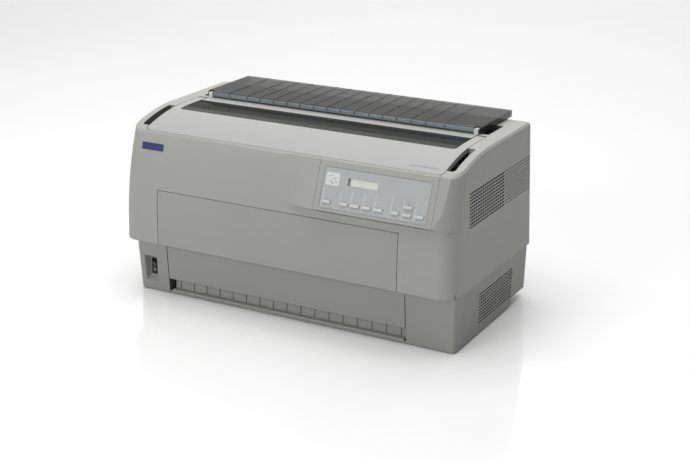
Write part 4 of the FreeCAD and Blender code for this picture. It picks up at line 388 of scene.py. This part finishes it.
metalValues = {
    "zincSheet": {"colour": (0.50, 0.51, 0.52), "roughness": 0.38},
    "groundSteel": {"colour": (0.72, 0.72, 0.73), "roughness": 0.16, "grainStretch": (2.0, 60.0, 60.0)},
    "motorShell": {"colour": (0.30, 0.31, 0.33), "roughness": 0.42},
    "castAlloy": {"colour": (0.42, 0.43, 0.44), "roughness": 0.5, "grainStretch": (9.0, 9.0, 9.0)},
}
brushValues = {
    "grainStretch": (4.0, 4.0, 60.0),
    "lineNoise": (60.0, 5.0, 0.6),
    "lineStops": (0.3, 0.7),
    "lineShades": (0.88, 1.08),
    "roughnessSpread": (-0.06, 0.08),
    "edge": 0.0004,
    "line": 0.08,
    "lineDepth": 0.0001,
}


# Brushed metal: noise stretched into lines sets the tone, the roughness and the height
def brushedMetal(name, ownValues):
    values = {**brushValues, **ownValues}
    material, tree, shader = newMaterial(name)
    vector = objectCoordinates(tree, values["grainStretch"])
    lines = noise(tree, vector, *values["lineNoise"])
    tone = shadedTone(tree, lines, values["colour"], values["lineStops"], values["lineShades"])
    tree.links.new(tone, shader.inputs["Base Color"])
    spreadRoughness(tree, shader, lines, values["roughness"], values["roughnessSpread"], (0.0, 1.0))
    shader.inputs["Metallic"].default_value = 1.0
    rounding = roundedNormal(tree, values["edge"])
    addBump(tree, shader, lines, rounding, values["line"], values["lineDepth"])
    return material


for name, values in metalValues.items():
    materials[name] = brushedMetal(name, values)

slotFinish = {
    "case_plastic": "casePlastic", "base_plastic": "basePlastic", "guide_plastic": "guidePlastic",
    "rubber_black": "footRubber", "panel_film": "panelFilm", "board_green": "boardLacquer",
    "lcd_face": "displayFace", "badge_blue": "badgeEnamel", "smoked_window": "smokedWindow",
    "smoked_cover": "smokedCover", "white_plastic": "whitePlastic", "black_plastic": "blackPlastic",
    "sheet_steel": "zincSheet", "bright_steel": "groundSteel", "platen_rubber": "platenRubber",
    "gear_nylon": "gearNylon", "motor_metal": "motorShell", "belt_rubber": "beltRubber",
    "grey_metal": "castAlloy", "ribbon_fabric": "ribbonCloth", "tractor_plastic": "blackPlastic",
    "lever_plastic": "leverPlastic", "button_plastic": "buttonPlastic",
}
nodeFinish = {"front_cover": "flapPlastic", "printer_cover": "topPlastic"}
print("materials:", len(materials))


# All nodes as one tree of triangles that rays can be sent into: each node's points are turned
# and moved to their place, and its faces count on from those before
def rayTree():
    points, faces, count = [], [], 0
    for node in nodes.values():
        mesh = node.data
        places = np.empty(len(mesh.vertices) * 3, np.float32)
        mesh.vertices.foreach_get("co", places)
        turn = np.array(node.matrix_world)
        points.append(places.reshape(-1, 3) @ turn[:3, :3].T + turn[:3, 3])
        faces += [[count + k for k in face.vertices] for face in mesh.polygons]
        count += len(mesh.vertices)
    return BVHTree.FromPolygons(np.concatenate(points).tolist(), faces)


# Painted shade: a dark tone on the faces in slots and recesses, for the two shells that have them
paintedShadeValues = {
    "reach": {"upper_case": 0.8, "base_case": 0.8},  # metres that a ray goes
    "lift": 0.0001,        # a ray starts this far off its face
    "level": 0.6,          # faces whose normal rises or drops by more stay pale
    "normalSteps": 100,    # faces of one plane have one normal, in steps of a hundredth
    "offsetSteps": 2000,   # and one distance from the origin, in steps of half a millimetre
}


# Faces of a shell that stand in a slot or a recess and take the painted shade: a ray along such a face's
# normal meets another face. Faces of one plane share their least value, so no outer face is spotted
def markPaintedShade(mesh, rays, reach, values):
    count = len(mesh.polygons)
    centres, normals = np.empty(count * 3, np.float32), np.empty(count * 3, np.float32)
    mesh.polygons.foreach_get("center", centres)
    mesh.polygons.foreach_get("normal", normals)
    centres, normals = centres.reshape(-1, 3), normals.reshape(-1, 3)
    met = np.array([rays.ray_cast(Vector(c + n * values["lift"]), Vector(n), reach)[0] is not None
                    for c, n in zip(centres, normals)], float)
    met[np.abs(normals[:, 2]) > values["level"]] = 0.0
    offset = np.sum(centres * normals, axis=1)
    plane = np.round(np.column_stack([normals * values["normalSteps"], offset * values["offsetSteps"]]))
    group = np.unique(plane, axis=0, return_inverse=True)[1].ravel()
    least = np.ones(group.max() + 1)
    np.minimum.at(least, group, met)
    # The mark for the painted shade, one value for each face
    layer = mesh.attributes.new("inner", "FLOAT", "FACE")
    layer.data.foreach_set("value", least[group].astype(np.float32))


# Degrees past which an edge stays sharp, and metres within which corners are one
skinValues = {
    "weld": 2e-6,
    "sharp": 50,
    "ownSharp": {
        "upper_case": 34, "base_case": 20, "carriage": 40, "ribbon_cartridge": 40, "control_panel": 40,
        "feed_motor": 30, "carriage_motor": 30, "power_supply": 30,
    },
}


# Skin of a CAD node: its loose triangles are welded and shaded smooth over curved faces and
# small bevels, with the normals of large faces kept, and left sharp at its corners
def weldedSkin(name, rays, values):
    source = nodes[name]
    mesh = source.data.copy()
    mesh.transform(source.matrix_world)
    work = bmesh.new()
    work.from_mesh(mesh)
    bmesh.ops.remove_doubles(work, verts=work.verts, dist=values["weld"])
    bmesh.ops.recalc_face_normals(work, faces=work.faces)
    work.to_mesh(mesh)
    work.free()
    if "custom_normal" in mesh.attributes:
        mesh.attributes.remove(mesh.attributes["custom_normal"])
    mesh.shade_smooth()
    mesh.set_sharp_from_angle(angle=math.radians(values["ownSharp"].get(name, values["sharp"])))
    # Faces in slots and recesses are marked for painted shade
    if name in paintedShadeValues["reach"]:
        markPaintedShade(mesh, rays, paintedShadeValues["reach"][name], paintedShadeValues)
    finish = materials[nodeFinish.get(name, slotFinish[slotOf[name]])]
    mesh.materials.clear()
    mesh.materials.append(finish)
    source.data.materials.clear()
    source.data.materials.append(finish)
    skin = bpy.data.objects.new(name + "_skin", mesh)
    bpy.context.scene.collection.objects.link(skin)
    even = skin.modifiers.new("evenNormals", "WEIGHTED_NORMAL")
    even.keep_sharp = True
    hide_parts(name)
    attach(skin, bodyOf[name])


allRays = rayTree()
for nodeName in nodes:
    weldedSkin(nodeName, allRays, skinValues)
print("skins:", len(nodes))


# One piece from several closed outlines, each drawn at two heights, with walls between and an
# end at each height. A corner (a, b) at height h goes to place(a, b, h)
def raisedShapes(name, outlines, low, high, place, finish, rideOn):
    points, faces, count = [], [], 0
    for outline in outlines:
        ring = np.array(outline, float)
        size = len(ring)
        beyond = np.roll(ring, -1, axis=0)
        if np.sum(ring[:, 0] * beyond[:, 1] - ring[:, 1] * beyond[:, 0]) < 0:
            ring = ring[::-1]
        for height in (low, high):
            points.append(np.stack(place(ring[:, 0], ring[:, 1], np.full(size, height)), axis=1))
        here = count + np.arange(size)
        after = np.roll(here, -1)
        faces += np.stack([here, after, size + after, size + here], axis=1).tolist()
        faces += [here[::-1].tolist(), (size + here).tolist()]
        count += 2 * size
    mesh = bpy.data.meshes.new(name)
    mesh.from_pydata(np.concatenate(points).tolist(), [], faces)
    mesh.materials.append(materials[finish])
    piece = bpy.data.objects.new(name, mesh)
    bpy.context.scene.collection.objects.link(piece)
    work = bmesh.new()
    work.from_mesh(mesh)
    bmesh.ops.recalc_face_normals(work, faces=work.faces)
    work.to_mesh(mesh)
    work.free()
    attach(piece, rideOn)
    return piece


# Place of a corner in a piece that stands upright: across, along and height as they are
def onLevel(across, along, height):
    return across, along, height


# Outline with four corners between two places across and two along
def bar(a0, a1, b0, b1):
    return [(a0, b0), (a1, b0), (a1, b1), (a0, b1)]


# Outline with corners at equal turns about a middle: its cosine across and its sine along
def disc(a, b, radius, sides=20):
    turns = np.arange(sides) * 2 * np.pi / sides
    return np.stack([a + radius * np.cos(turns), b + radius * np.sin(turns)], axis=1).tolist()


# Bar whose corners are quarter circles, each about a centre one radius in from both edges
def roundedBar(a0, a1, b0, b1, radius, steps=5):
    left, right, foot, top = a0 + radius, a1 - radius, b0 + radius, b1 - radius
    turns = np.linspace(0, np.pi / 2, steps)
    points = []
    for quarter, (a, b) in enumerate([(right, top), (left, top), (left, foot), (right, foot)]):
        swing = turns + quarter * np.pi / 2
        points += np.stack([a + radius * np.cos(swing), b + radius * np.sin(swing)], axis=1).tolist()
    return points


# Print on the control panel, in metres: across the case and up the sloping face from its lip.
# The icon's arrows and its bar are measured from its lower left corner
panelValues = {
    "lip": (-0.1894, 0.2325),
    "slope": math.atan2(0.0319, 0.0840),
    "sunk": -0.00025,
    "raised": -0.00012,
    "dividerWidth": 0.0009,
    "dividers": ((0.0921, 0.008), (0.127, 0.016), (0.1488, 0.016), (0.1728, 0.016), (0.1951, 0.016),
                 (0.2267, 0.008), (0.2499, 0.008), (0.2728, 0.008)),
    "dividerTop": 0.042,
    "lamps": ((0.2783, 0.0573), (0.2782, 0.0343), (0.1752, 0.0350), (0.1990, 0.0358)),
    "lampRadius": 0.0011,
    "lampRise": 0.0002,
    "pointers": (((0.2570, 0.0345), (0.2600, 0.0345), (0.2585, 0.0363)),
                 ((0.2570, 0.0130), (0.2600, 0.0130), (0.2585, 0.0112))),
    "leftBracket": (0.1336, 0.159, 0.0125, 0.1405, 0.1525),
    "rightBracket": (0.1795, 0.2048, 0.0129, 0.1865, 0.1985),
    "bracketLine": 0.00045,
    "bracketTick": 0.0016,
    "icon": (0.0925, 0.119, 0.047, 0.070),
    "iconCorner": 0.003,
    "iconRise": 0.00006,
    "iconArrows": ((0.0040, 0.016, 0.0120, 0.018), (0.0215, 0.014, 0.0145, 0.012),
                   (0.0060, 0.005, 0.0120, 0.009), (0.0175, 0.010, 0.0225, 0.005)),
    "iconBar": (0.0115, 0.0165, 0.0035, 0.0048),
    "shaftHalf": 0.00032,
    "headLength": 0.0020,
    "barbShare": 0.7,
    "underlines": (0.1356, 0.158, 0.1804, 0.2034),
    "underlineHalf": 0.003,
    "underlineUp": (0.0229, 0.0234),
}


# Place on the panel: from the lip, up along the slope, and out square to it
def onPanel(across, up, out):
    lean = panelValues["slope"]
    y0, z0 = panelValues["lip"]
    y = y0 + up * math.sin(lean) - out * math.cos(lean)
    z = z0 + up * math.cos(lean) + out * math.sin(lean)
    return across, y, z


# Bracket under a pair of buttons: a level line with a gap in it and a short tick up at each end
def bracketLines(a0, a1, b, gapLow, gapHigh):
    line, tick = panelValues["bracketLine"], panelValues["bracketTick"]
    return [bar(a0, gapLow, b, b + line), bar(gapHigh, a1, b, b + line),
            bar(a0, a0 + line, b, b + tick), bar(a1 - line, a1, b, b + tick)]


# Plain arrow from one point to another. Its corners are drawn along a line and square to it,
# then turned by the sine and cosine of the way between the points
def arrow(a0, b0, a1, b1):
    width, head = panelValues["shaftHalf"], panelValues["headLength"]
    barb = head * panelValues["barbShare"]
    length = math.hypot(a1 - a0, b1 - b0)
    cosine, sine = (a1 - a0) / length, (b1 - b0) / length
    neck = length - head
    local = [(0, -width), (neck, -width), (neck, -barb), (length, 0), (neck, barb), (neck, width), (0, width)]
    return [(a0 + s * cosine - t * sine, b0 + s * sine + t * cosine) for s, t in local]


# All that is printed on the panel: each a list of outlines between two heights over the face
def makePanelPrint(values):
    low, high = values["sunk"], values["raised"]
    half, reach = values["dividerWidth"] / 2, values["underlineHalf"]
    dividers = [bar(x - half, x + half, foot, values["dividerTop"]) for x, foot in values["dividers"]]
    underlines = [bar(x - reach, x + reach, *values["underlineUp"]) for x in values["underlines"]]
    lamps = [disc(x, up, values["lampRadius"]) for x, up in values["lamps"]]
    x0, x1, v0, v1 = values["icon"]
    signs = [arrow(x0 + a0, v0 + b0, x0 + a1, v0 + b1) for a0, b0, a1, b1 in values["iconArrows"]]
    a0, a1, b0, b1 = values["iconBar"]
    signs.append(bar(x0 + a0, x0 + a1, v0 + b0, v0 + b1))
    prints = [
        ("panel_dividers", dividers, low, high, "whitePrint"),
        ("panel_lamps", lamps, low, high + values["lampRise"], "amberLens"),
        ("panel_arrows", values["pointers"], low, high, "greyPrint"),
        ("panel_bracket_left", bracketLines(*values["leftBracket"]), low, high, "redPrint"),
        ("panel_bracket_right", bracketLines(*values["rightBracket"]), low, high, "tealPrint"),
        ("panel_icon", [roundedBar(x0, x1, v0, v1, values["iconCorner"])], low, high, "whitePrint"),
        ("panel_icon_arrows", signs, high, high + values["iconRise"], "greyPrint"),
        ("panel_underlines", underlines, low, high, "tealPrint"),
    ]
    for name, outlines, foot, top, finish in prints:
        raisedShapes(name, outlines, foot, top, onPanel, finish, bodyOf["panel_sheet"])


makePanelPrint(panelValues)

# Pale bare strip on the printer cover, lying on the crown arc of the case's top
stripValues = {
    "across": (0.239, 0.296),
    "along": (-0.1395, -0.1335),
    "crownEnd": -0.0195,
    "crownRadius": 0.37257,
    "top": 0.343,
    "sunk": -0.0001,
    "raised": 0.00008,
}


# The crown's centre is one radius below its rear end. A place ahead of that end is turned about
# the centre by the arcsine of its way over the radius, and out makes the radius longer
def onCrown(across, along, out):
    radius = stripValues["crownRadius"] + out
    turn = np.arcsin((stripValues["crownEnd"] - along) / stripValues["crownRadius"])
    centre = stripValues["top"] - stripValues["crownRadius"]
    return across, stripValues["crownEnd"] - radius * np.sin(turn), centre + radius * np.cos(turn)


raisedShapes("cover_strip", [bar(*stripValues["across"], *stripValues["along"])], stripValues["sunk"],
             stripValues["raised"], onCrown, "stripFoil", bodyOf["printer_cover"])

# I and O on the two halves of the rocker's face, in metres from its middle
rockerValues = {
    "middle": (-0.2965, -0.1562, 0.047),
    "pivot": (-0.149, 0.047),
    "dip": 0.001897,       # how far the middle line lies behind the ends
    "rise": 0.012234,      # from the middle line to an end
    "tilt": math.radians(8.0),
    "line": (-0.0004, 0.0004, 0.0040, 0.0078),
    "ring": (0.0, -0.0062, 0.0022, 0.0006),
    "sunk": -0.00005,
    "raised": 0.00006,
}


# The face folds at its middle line: its depth grows with the way up or down, by the dip over
# the rise. The whole is then turned by the rocker's tilt about its pivot
def onRocker(across, up, out):
    x0, y0, z0 = rockerValues["middle"]
    y = y0 - np.abs(up) * rockerValues["dip"] / rockerValues["rise"] - out
    py, pz = rockerValues["pivot"]
    cosine, sine = math.cos(rockerValues["tilt"]), math.sin(rockerValues["tilt"])
    dy, dz = y - py, z0 + up - pz
    return x0 + across, py + dy * cosine - dz * sine, pz + dy * sine + dz * cosine


# Ring of short straight bars: each has its four corners at two turns and two radii
def ringBars(a, b, radius, width, sides=16):
    bars = []
    for k in range(sides):
        t0, t1 = 2 * math.pi * k / sides, 2 * math.pi * (k + 1) / sides
        corners = ((t0, radius), (t1, radius), (t1, radius - width), (t0, radius - width))
        bars.append([(a + r * math.cos(t), b + r * math.sin(t)) for t, r in corners])
    return bars


rockerMarks = {
    "rocker_line": [bar(*rockerValues["line"])],
    "rocker_ring": ringBars(*rockerValues["ring"]),
}
for name, outlines in rockerMarks.items():
    raisedShapes(name, outlines, rockerValues["sunk"], rockerValues["raised"], onRocker, "whitePrint",
                 bodyOf["power_rocker"])
print("print and marks done")


# Surface of revolution about an axis: each radius and height of the profile is turned in equal
# steps, its cosine across and its sine up
def revolveGrid(radii, heights, sides):
    turns = np.arange(sides) * 2 * np.pi / sides
    across = np.outer(radii, np.cos(turns))
    up = np.outer(radii, np.sin(turns))
    out = np.repeat(np.asarray(heights, float)[:, None], sides, axis=1)
    grid = np.stack([across, up, out], axis=-1).reshape(-1, 3)
    row = np.arange(len(radii) - 1)[:, None] * sides
    column = np.arange(sides)[None, :]
    after = (column + 1) % sides
    corners = [row + column, row + after, row + sides + after, row + sides + column]
    return grid, np.stack(corners, axis=-1).reshape(-1, 4)


# Pan-head screws, each a low dome with a dark cross on it, painted shade for the recessed cross
screwValues = {
    "radius": 0.0030,
    "height": 0.0014,
    "sides": 24,
    "domeSteps": 6,
    "domePower": 0.6,      # below 1, the dome is flatter on top
    "tip": 0.02,           # radius left at the top, as a share
    "sunk": 0.0002,
    "crossLength": 0.0019,
    "crossWidth": 0.0004,
    "crossHeight": 1.01,   # share of the dome's height
}


# Two directions square to a normal and to each other, then the normal. The first is level, and
# it is X where the normal is nearly upright
def frameOf(normal):
    shortest = 0.1
    n = np.asarray(normal, float)
    n = n / np.linalg.norm(n)
    side = np.cross(n, (0.0, 0.0, 1.0))
    if np.linalg.norm(side) < shortest:
        side = np.array((1.0, 0.0, 0.0))
    side = side / np.linalg.norm(side)
    return side, np.cross(n, side), n


# The dome's radius is a power of the cosine and its height the sine of a quarter turn. Dome and
# cross are drawn once and carried to each seat, a place and the normal of the face there
def screws(name, seats, rideOn, scale=1.0):
    r, h = screwValues["radius"] * scale, screwValues["height"] * scale
    turn = np.linspace(0, np.pi / 2, screwValues["domeSteps"])
    radii = np.concatenate([[r], r * np.cos(turn) ** screwValues["domePower"]])
    radii[-1] = r * screwValues["tip"]
    heights = np.concatenate([[-screwValues["sunk"]], h * np.sin(turn)])
    dome, quads = revolveGrid(radii, heights, screwValues["sides"])
    length, width = screwValues["crossLength"] * scale, screwValues["crossWidth"] * scale
    slots = np.array(bar(-length, length, -width, width))
    slots = np.concatenate([slots, slots[:, ::-1]])
    slotPoints = np.column_stack([slots, np.full(len(slots), h * screwValues["crossHeight"])])
    points, faces, slotFaces, count = [], [], [], 0
    for seat, normal in seats:
        turned = np.stack(frameOf(normal))
        for local in (dome, slotPoints):
            points.append(local @ turned + np.asarray(seat, float))
        faces += (quads + count).tolist()
        start = count + len(dome)
        slotFaces += [[start, start + 1, start + 2, start + 3], [start + 7, start + 6, start + 5, start + 4]]
        count = start + len(slotPoints)
    mesh = bpy.data.meshes.new(name)
    mesh.from_pydata(np.concatenate(points).tolist(), [], faces + slotFaces)
    mesh.materials.append(materials["groundSteel"])
    # The flat black cross is painted shade standing in for the recess of the cross slot
    mesh.materials.append(materials["blackPlastic"])
    index = np.zeros(len(mesh.polygons), np.int32)
    index[len(faces):] = 1
    mesh.polygons.foreach_set("material_index", index)
    mesh.shade_smooth()
    piece = bpy.data.objects.new(name, mesh)
    bpy.context.scene.collection.objects.link(piece)
    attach(piece, rideOn)


# Where the screws sit, in metres: rear walls, underside, side frames, fan and print head. A
# leaning wall has its place along and its height at the foot, and its slope
seatValues = {
    "rearAcross": (-0.30, -0.10, 0.10, 0.30),
    "rearHeight": 0.125,
    "rearFoot": (0.177, 0.105),
    "rearSlope": 0.004 / 0.238,
    "baseAcross": (-0.29, 0.32),
    "baseHeights": (0.040, 0.085),
    "baseFoot": (0.161, 0.002),
    "baseSlope": 0.003 / 0.103,
    "baseNormal": (0, 1, -0.03),
    "underside": ((-0.28, 0.115, 0.0185), (0.0, 0.115, 0.0185), (0.30, 0.115, 0.0185),
                  (-0.20, -0.02, 0.002), (0.0, -0.02, 0.002), (0.22, -0.02, 0.002)),
    "frame": ((-0.090, 0.040), (0.030, 0.040), (0.135, 0.040), (-0.120, 0.250), (0.05, 0.300)),
    "fanInset": 0.005,
    "fanScale": 0.8,
    "headInset": (0.001, 0.004, 0.0005),
    "headScale": 0.35,
}


# On a leaning wall the place along is the foot's, plus or minus the slope times the height above
# the foot
def makeScrews(values):
    caseBody = bodyOf["upper_case"]
    footY, footZ = values["rearFoot"]
    z = values["rearHeight"]
    y = footY - values["rearSlope"] * (z - footZ)
    seats = [((x, y, z), (0, 1, values["rearSlope"])) for x in values["rearAcross"]]
    footY, footZ = values["baseFoot"]
    seats += [((x, footY + values["baseSlope"] * (z - footZ), z), values["baseNormal"])
              for x in values["baseAcross"] for z in values["baseHeights"]]
    seats += [(place, (0, 0, -1)) for place in values["underside"]]
    screws("case_screws", seats, caseBody)
    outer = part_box("side_frame_left")[0][0]
    frames = [((side * outer, y, z), (-side, 0, 0)) for side in (1, -1) for y, z in values["frame"]]
    screws("frame_screws", frames, caseBody)
    low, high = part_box("fan_housing")
    inset = values["fanInset"]
    fan = [((low[0], y, z), (-1, 0, 0)) for y in (low[1] + inset, high[1] - inset)
           for z in (low[2] + inset, high[2] - inset)]
    screws("fan_screws", fan, caseBody, values["fanScale"])
    low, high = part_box("print_head")
    across, along, down = values["headInset"]
    head = [((x, low[1] + along, high[2] - down), (0, 0, 1)) for x in (low[0] + across, high[0] - across)]
    screws("head_screws", head, bodyOf["print_head"], values["headScale"])


makeScrews(seatValues)

# Teeth inside the carriage belt: low bars across both straight strands, one every pitch
beltValues = {
    "pitch": 0.003,
    "depth": 0.0006,
    "width": 0.0013,
    "thick": 0.0015,       # of the belt
    "end": 0.016,          # length of its turn round a pulley
    "sunk": 0.0001,
    "margin": 0.0002,      # bare at the belt's upper and lower edge
}


# A tooth stands on the inner face of its strand and points to the other strand
def makeBeltTeeth(values):
    low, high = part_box("timing_belt")
    half = (high[0] - low[0]) / 2 - values["end"]
    bars = []
    for inner, out in ((low[1] + values["thick"], 1), (high[1] - values["thick"], -1)):
        b0, b1 = sorted((inner - out * values["sunk"], inner + out * values["depth"]))
        bars += [bar(x - values["width"] / 2, x + values["width"] / 2, b0, b1)
                 for x in np.arange(-half, half, values["pitch"])]
    raisedShapes("belt_teeth", bars, low[2] + values["margin"], high[2] - values["margin"], onLevel,
                 "beltRubber", bodyOf["timing_belt"])


makeBeltTeeth(beltValues)

# Dark sheets just inside the two vents, leaning with their walls: painted shade seen through the vent
# holes. Across has the place at a sheet's foot and at its top
ventShadeValues = {
    "upper_vent_shade_sheet": {"along": (-0.1180, 0.0435), "up": (0.2130, 0.2855), "across": (0.34257, 0.34013)},
    "lower_vent_shade_sheet": {"along": (-0.0680, 0.0935), "up": (0.0190, 0.0845), "across": (0.34351, 0.34480)},
}
ventShadeThickness = 0.0004


# The place across goes in even proportion from the foot's to the top's, less the thickness
def makeVentShade(name, values):
    foot, top = values["up"]
    footAcross, topAcross = values["across"]

    def inWall(along, up, depth):
        share = (up - foot) / (top - foot)
        return footAcross + (topAcross - footAcross) * share - depth, along, up

    # The sheet takes the dark chip epoxy as painted shade in the vent holes
    raisedShapes(name, [bar(*values["along"], foot, top)], 0.0, ventShadeThickness, inWall, "chipEpoxy",
                 bodyOf["upper_case"])


for name, values in ventShadeValues.items():
    makeVentShade(name, values)

# Chips and round cans on the two boards
boardRows = {"main_board": (26, 7), "power_supply": (14, 11)}  # how many parts, and their seed
boardValues = {
    "face": 0.026 + 0.008 + 0.0016,  # the chassis plate's top, the stand-offs and the board
    "sideMargin": 0.012,
    "frontMargin": 0.088,
    "rearMargin": 0.012,
    "stride": 0.618,         # share of the width from one part to the next
    "chipWidths": (0.003, 0.005, 0.008),
    "chipDepths": (0.002, 0.0035),
    "chipHeight": 0.0016,
    "canEvery": 3,
    "canRadius": 0.0022,
    "canSides": 16,
    "canHeight": 0.0060,
    "sunk": 0.0001,
}


# Across, each part is one stride on from the last, and the whole widths are dropped; along, its
# place is drawn at random
def makeBoardParts(node, count, seed, values):
    low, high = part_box(node)
    draws = np.random.default_rng(seed)
    width = high[0] - low[0] - 2 * values["sideMargin"]
    depth = high[1] - low[1] - values["frontMargin"] - values["rearMargin"]
    chips, cans = [], []
    for k in range(count):
        a = low[0] + values["sideMargin"] + width * ((k * values["stride"]) % 1.0)
        b = low[1] + values["frontMargin"] + depth * draws.random()
        wide, deep = draws.choice(values["chipWidths"]), draws.choice(values["chipDepths"])
        if k % values["canEvery"]:
            chips.append(bar(a - wide / 2, a + wide / 2, b - deep / 2, b + deep / 2))
        else:
            cans.append(disc(a, b, values["canRadius"], values["canSides"]))
    foot = values["face"] - values["sunk"]
    chipTop, canTop = values["face"] + values["chipHeight"], values["face"] + values["canHeight"]
    raisedShapes(node + "_chips", chips, foot, chipTop, onLevel, "chipEpoxy", bodyOf[node])
    raisedShapes(node + "_cans", cans, foot, canTop, onLevel, "castAlloy", bodyOf[node])


for name, (count, seed) in boardRows.items():
    makeBoardParts(name, count, seed, boardValues)
print("screws, teeth, shade_sheets and board parts done")

# Floor and world
stageValues = {
    "floor": (0.88, 0.88, 0.88),
    "size": 16.0,
    "cloudScale": 1.5,
    "cloudStops": (0.3, 0.7),
    "cloudShades": (0.99, 1.01),
    "roughness": 0.10,
    "specular": 0.55,
    "world": 0.25,
}


# One level square about the origin, a little cloudy and glossy
def makeFloor(values):
    half = values["size"] / 2
    mesh = bpy.data.meshes.new("floor")
    corners = [(-half, -half, 0), (half, -half, 0), (half, half, 0), (-half, half, 0)]
    mesh.from_pydata(corners, [], [(0, 1, 2, 3)])
    floor = bpy.data.objects.new("floor", mesh)
    bpy.context.scene.collection.objects.link(floor)
    material, tree, shader = newMaterial("paleFloor")
    cloud = noise(tree, objectCoordinates(tree), values["cloudScale"])
    tone = shadedTone(tree, cloud, values["floor"], values["cloudStops"], values["cloudShades"])
    tree.links.new(tone, shader.inputs["Base Color"])
    shader.inputs["Roughness"].default_value = values["roughness"]
    shader.inputs["Specular IOR Level"].default_value = values["specular"]
    mesh.materials.append(material)


# Soft light from a rectangle, turned so that its face looks from its place to the target
def makeLight(name, place, target, size, power):
    data = bpy.data.lights.new(name, "AREA")
    data.shape = "RECTANGLE"
    data.size, data.size_y = size
    data.energy = power
    light = bpy.data.objects.new(name, data)
    light.location = place
    light.rotation_euler = (Vector(target) - Vector(place)).to_track_quat("-Z", "Y").to_euler()
    bpy.context.scene.collection.objects.link(light)


# The same pale light from all sides, with colours shown as they are
def makeWorld(values):
    world = bpy.data.worlds.new("studio")
    world.use_nodes = True
    background = world.node_tree.nodes["Background"]
    background.inputs["Color"].default_value = (1, 1, 1, 1)
    background.inputs["Strength"].default_value = values["world"]
    bpy.context.scene.world = world
    bpy.context.scene.view_settings.view_transform = "Standard"


# Lights, each with its place, its target, its size and its watts
lightValues = {
    "topLight": ((-0.2, 0.1, 3.2), (0.0, 0.0, 0.2), (3.4, 3.4), 110),
    "frontLight": ((-1.2, -3.6, 1.7), (0.0, 0.0, 0.2), (2.2, 1.8), 56),
    "backLight": ((-2.2, 4.0, 1.3), (0.0, 0.0, 0.2), (7.0, 2.6), 18),
    "farLight": ((-2.2, 5.0, 3.6), (-2.2, 5.0, 0.0), (7.0, 4.5), 195),
}
makeFloor(stageValues)
for name, values in lightValues.items():
    makeLight(name, *values)
makeWorld(stageValues)
print("stage done")
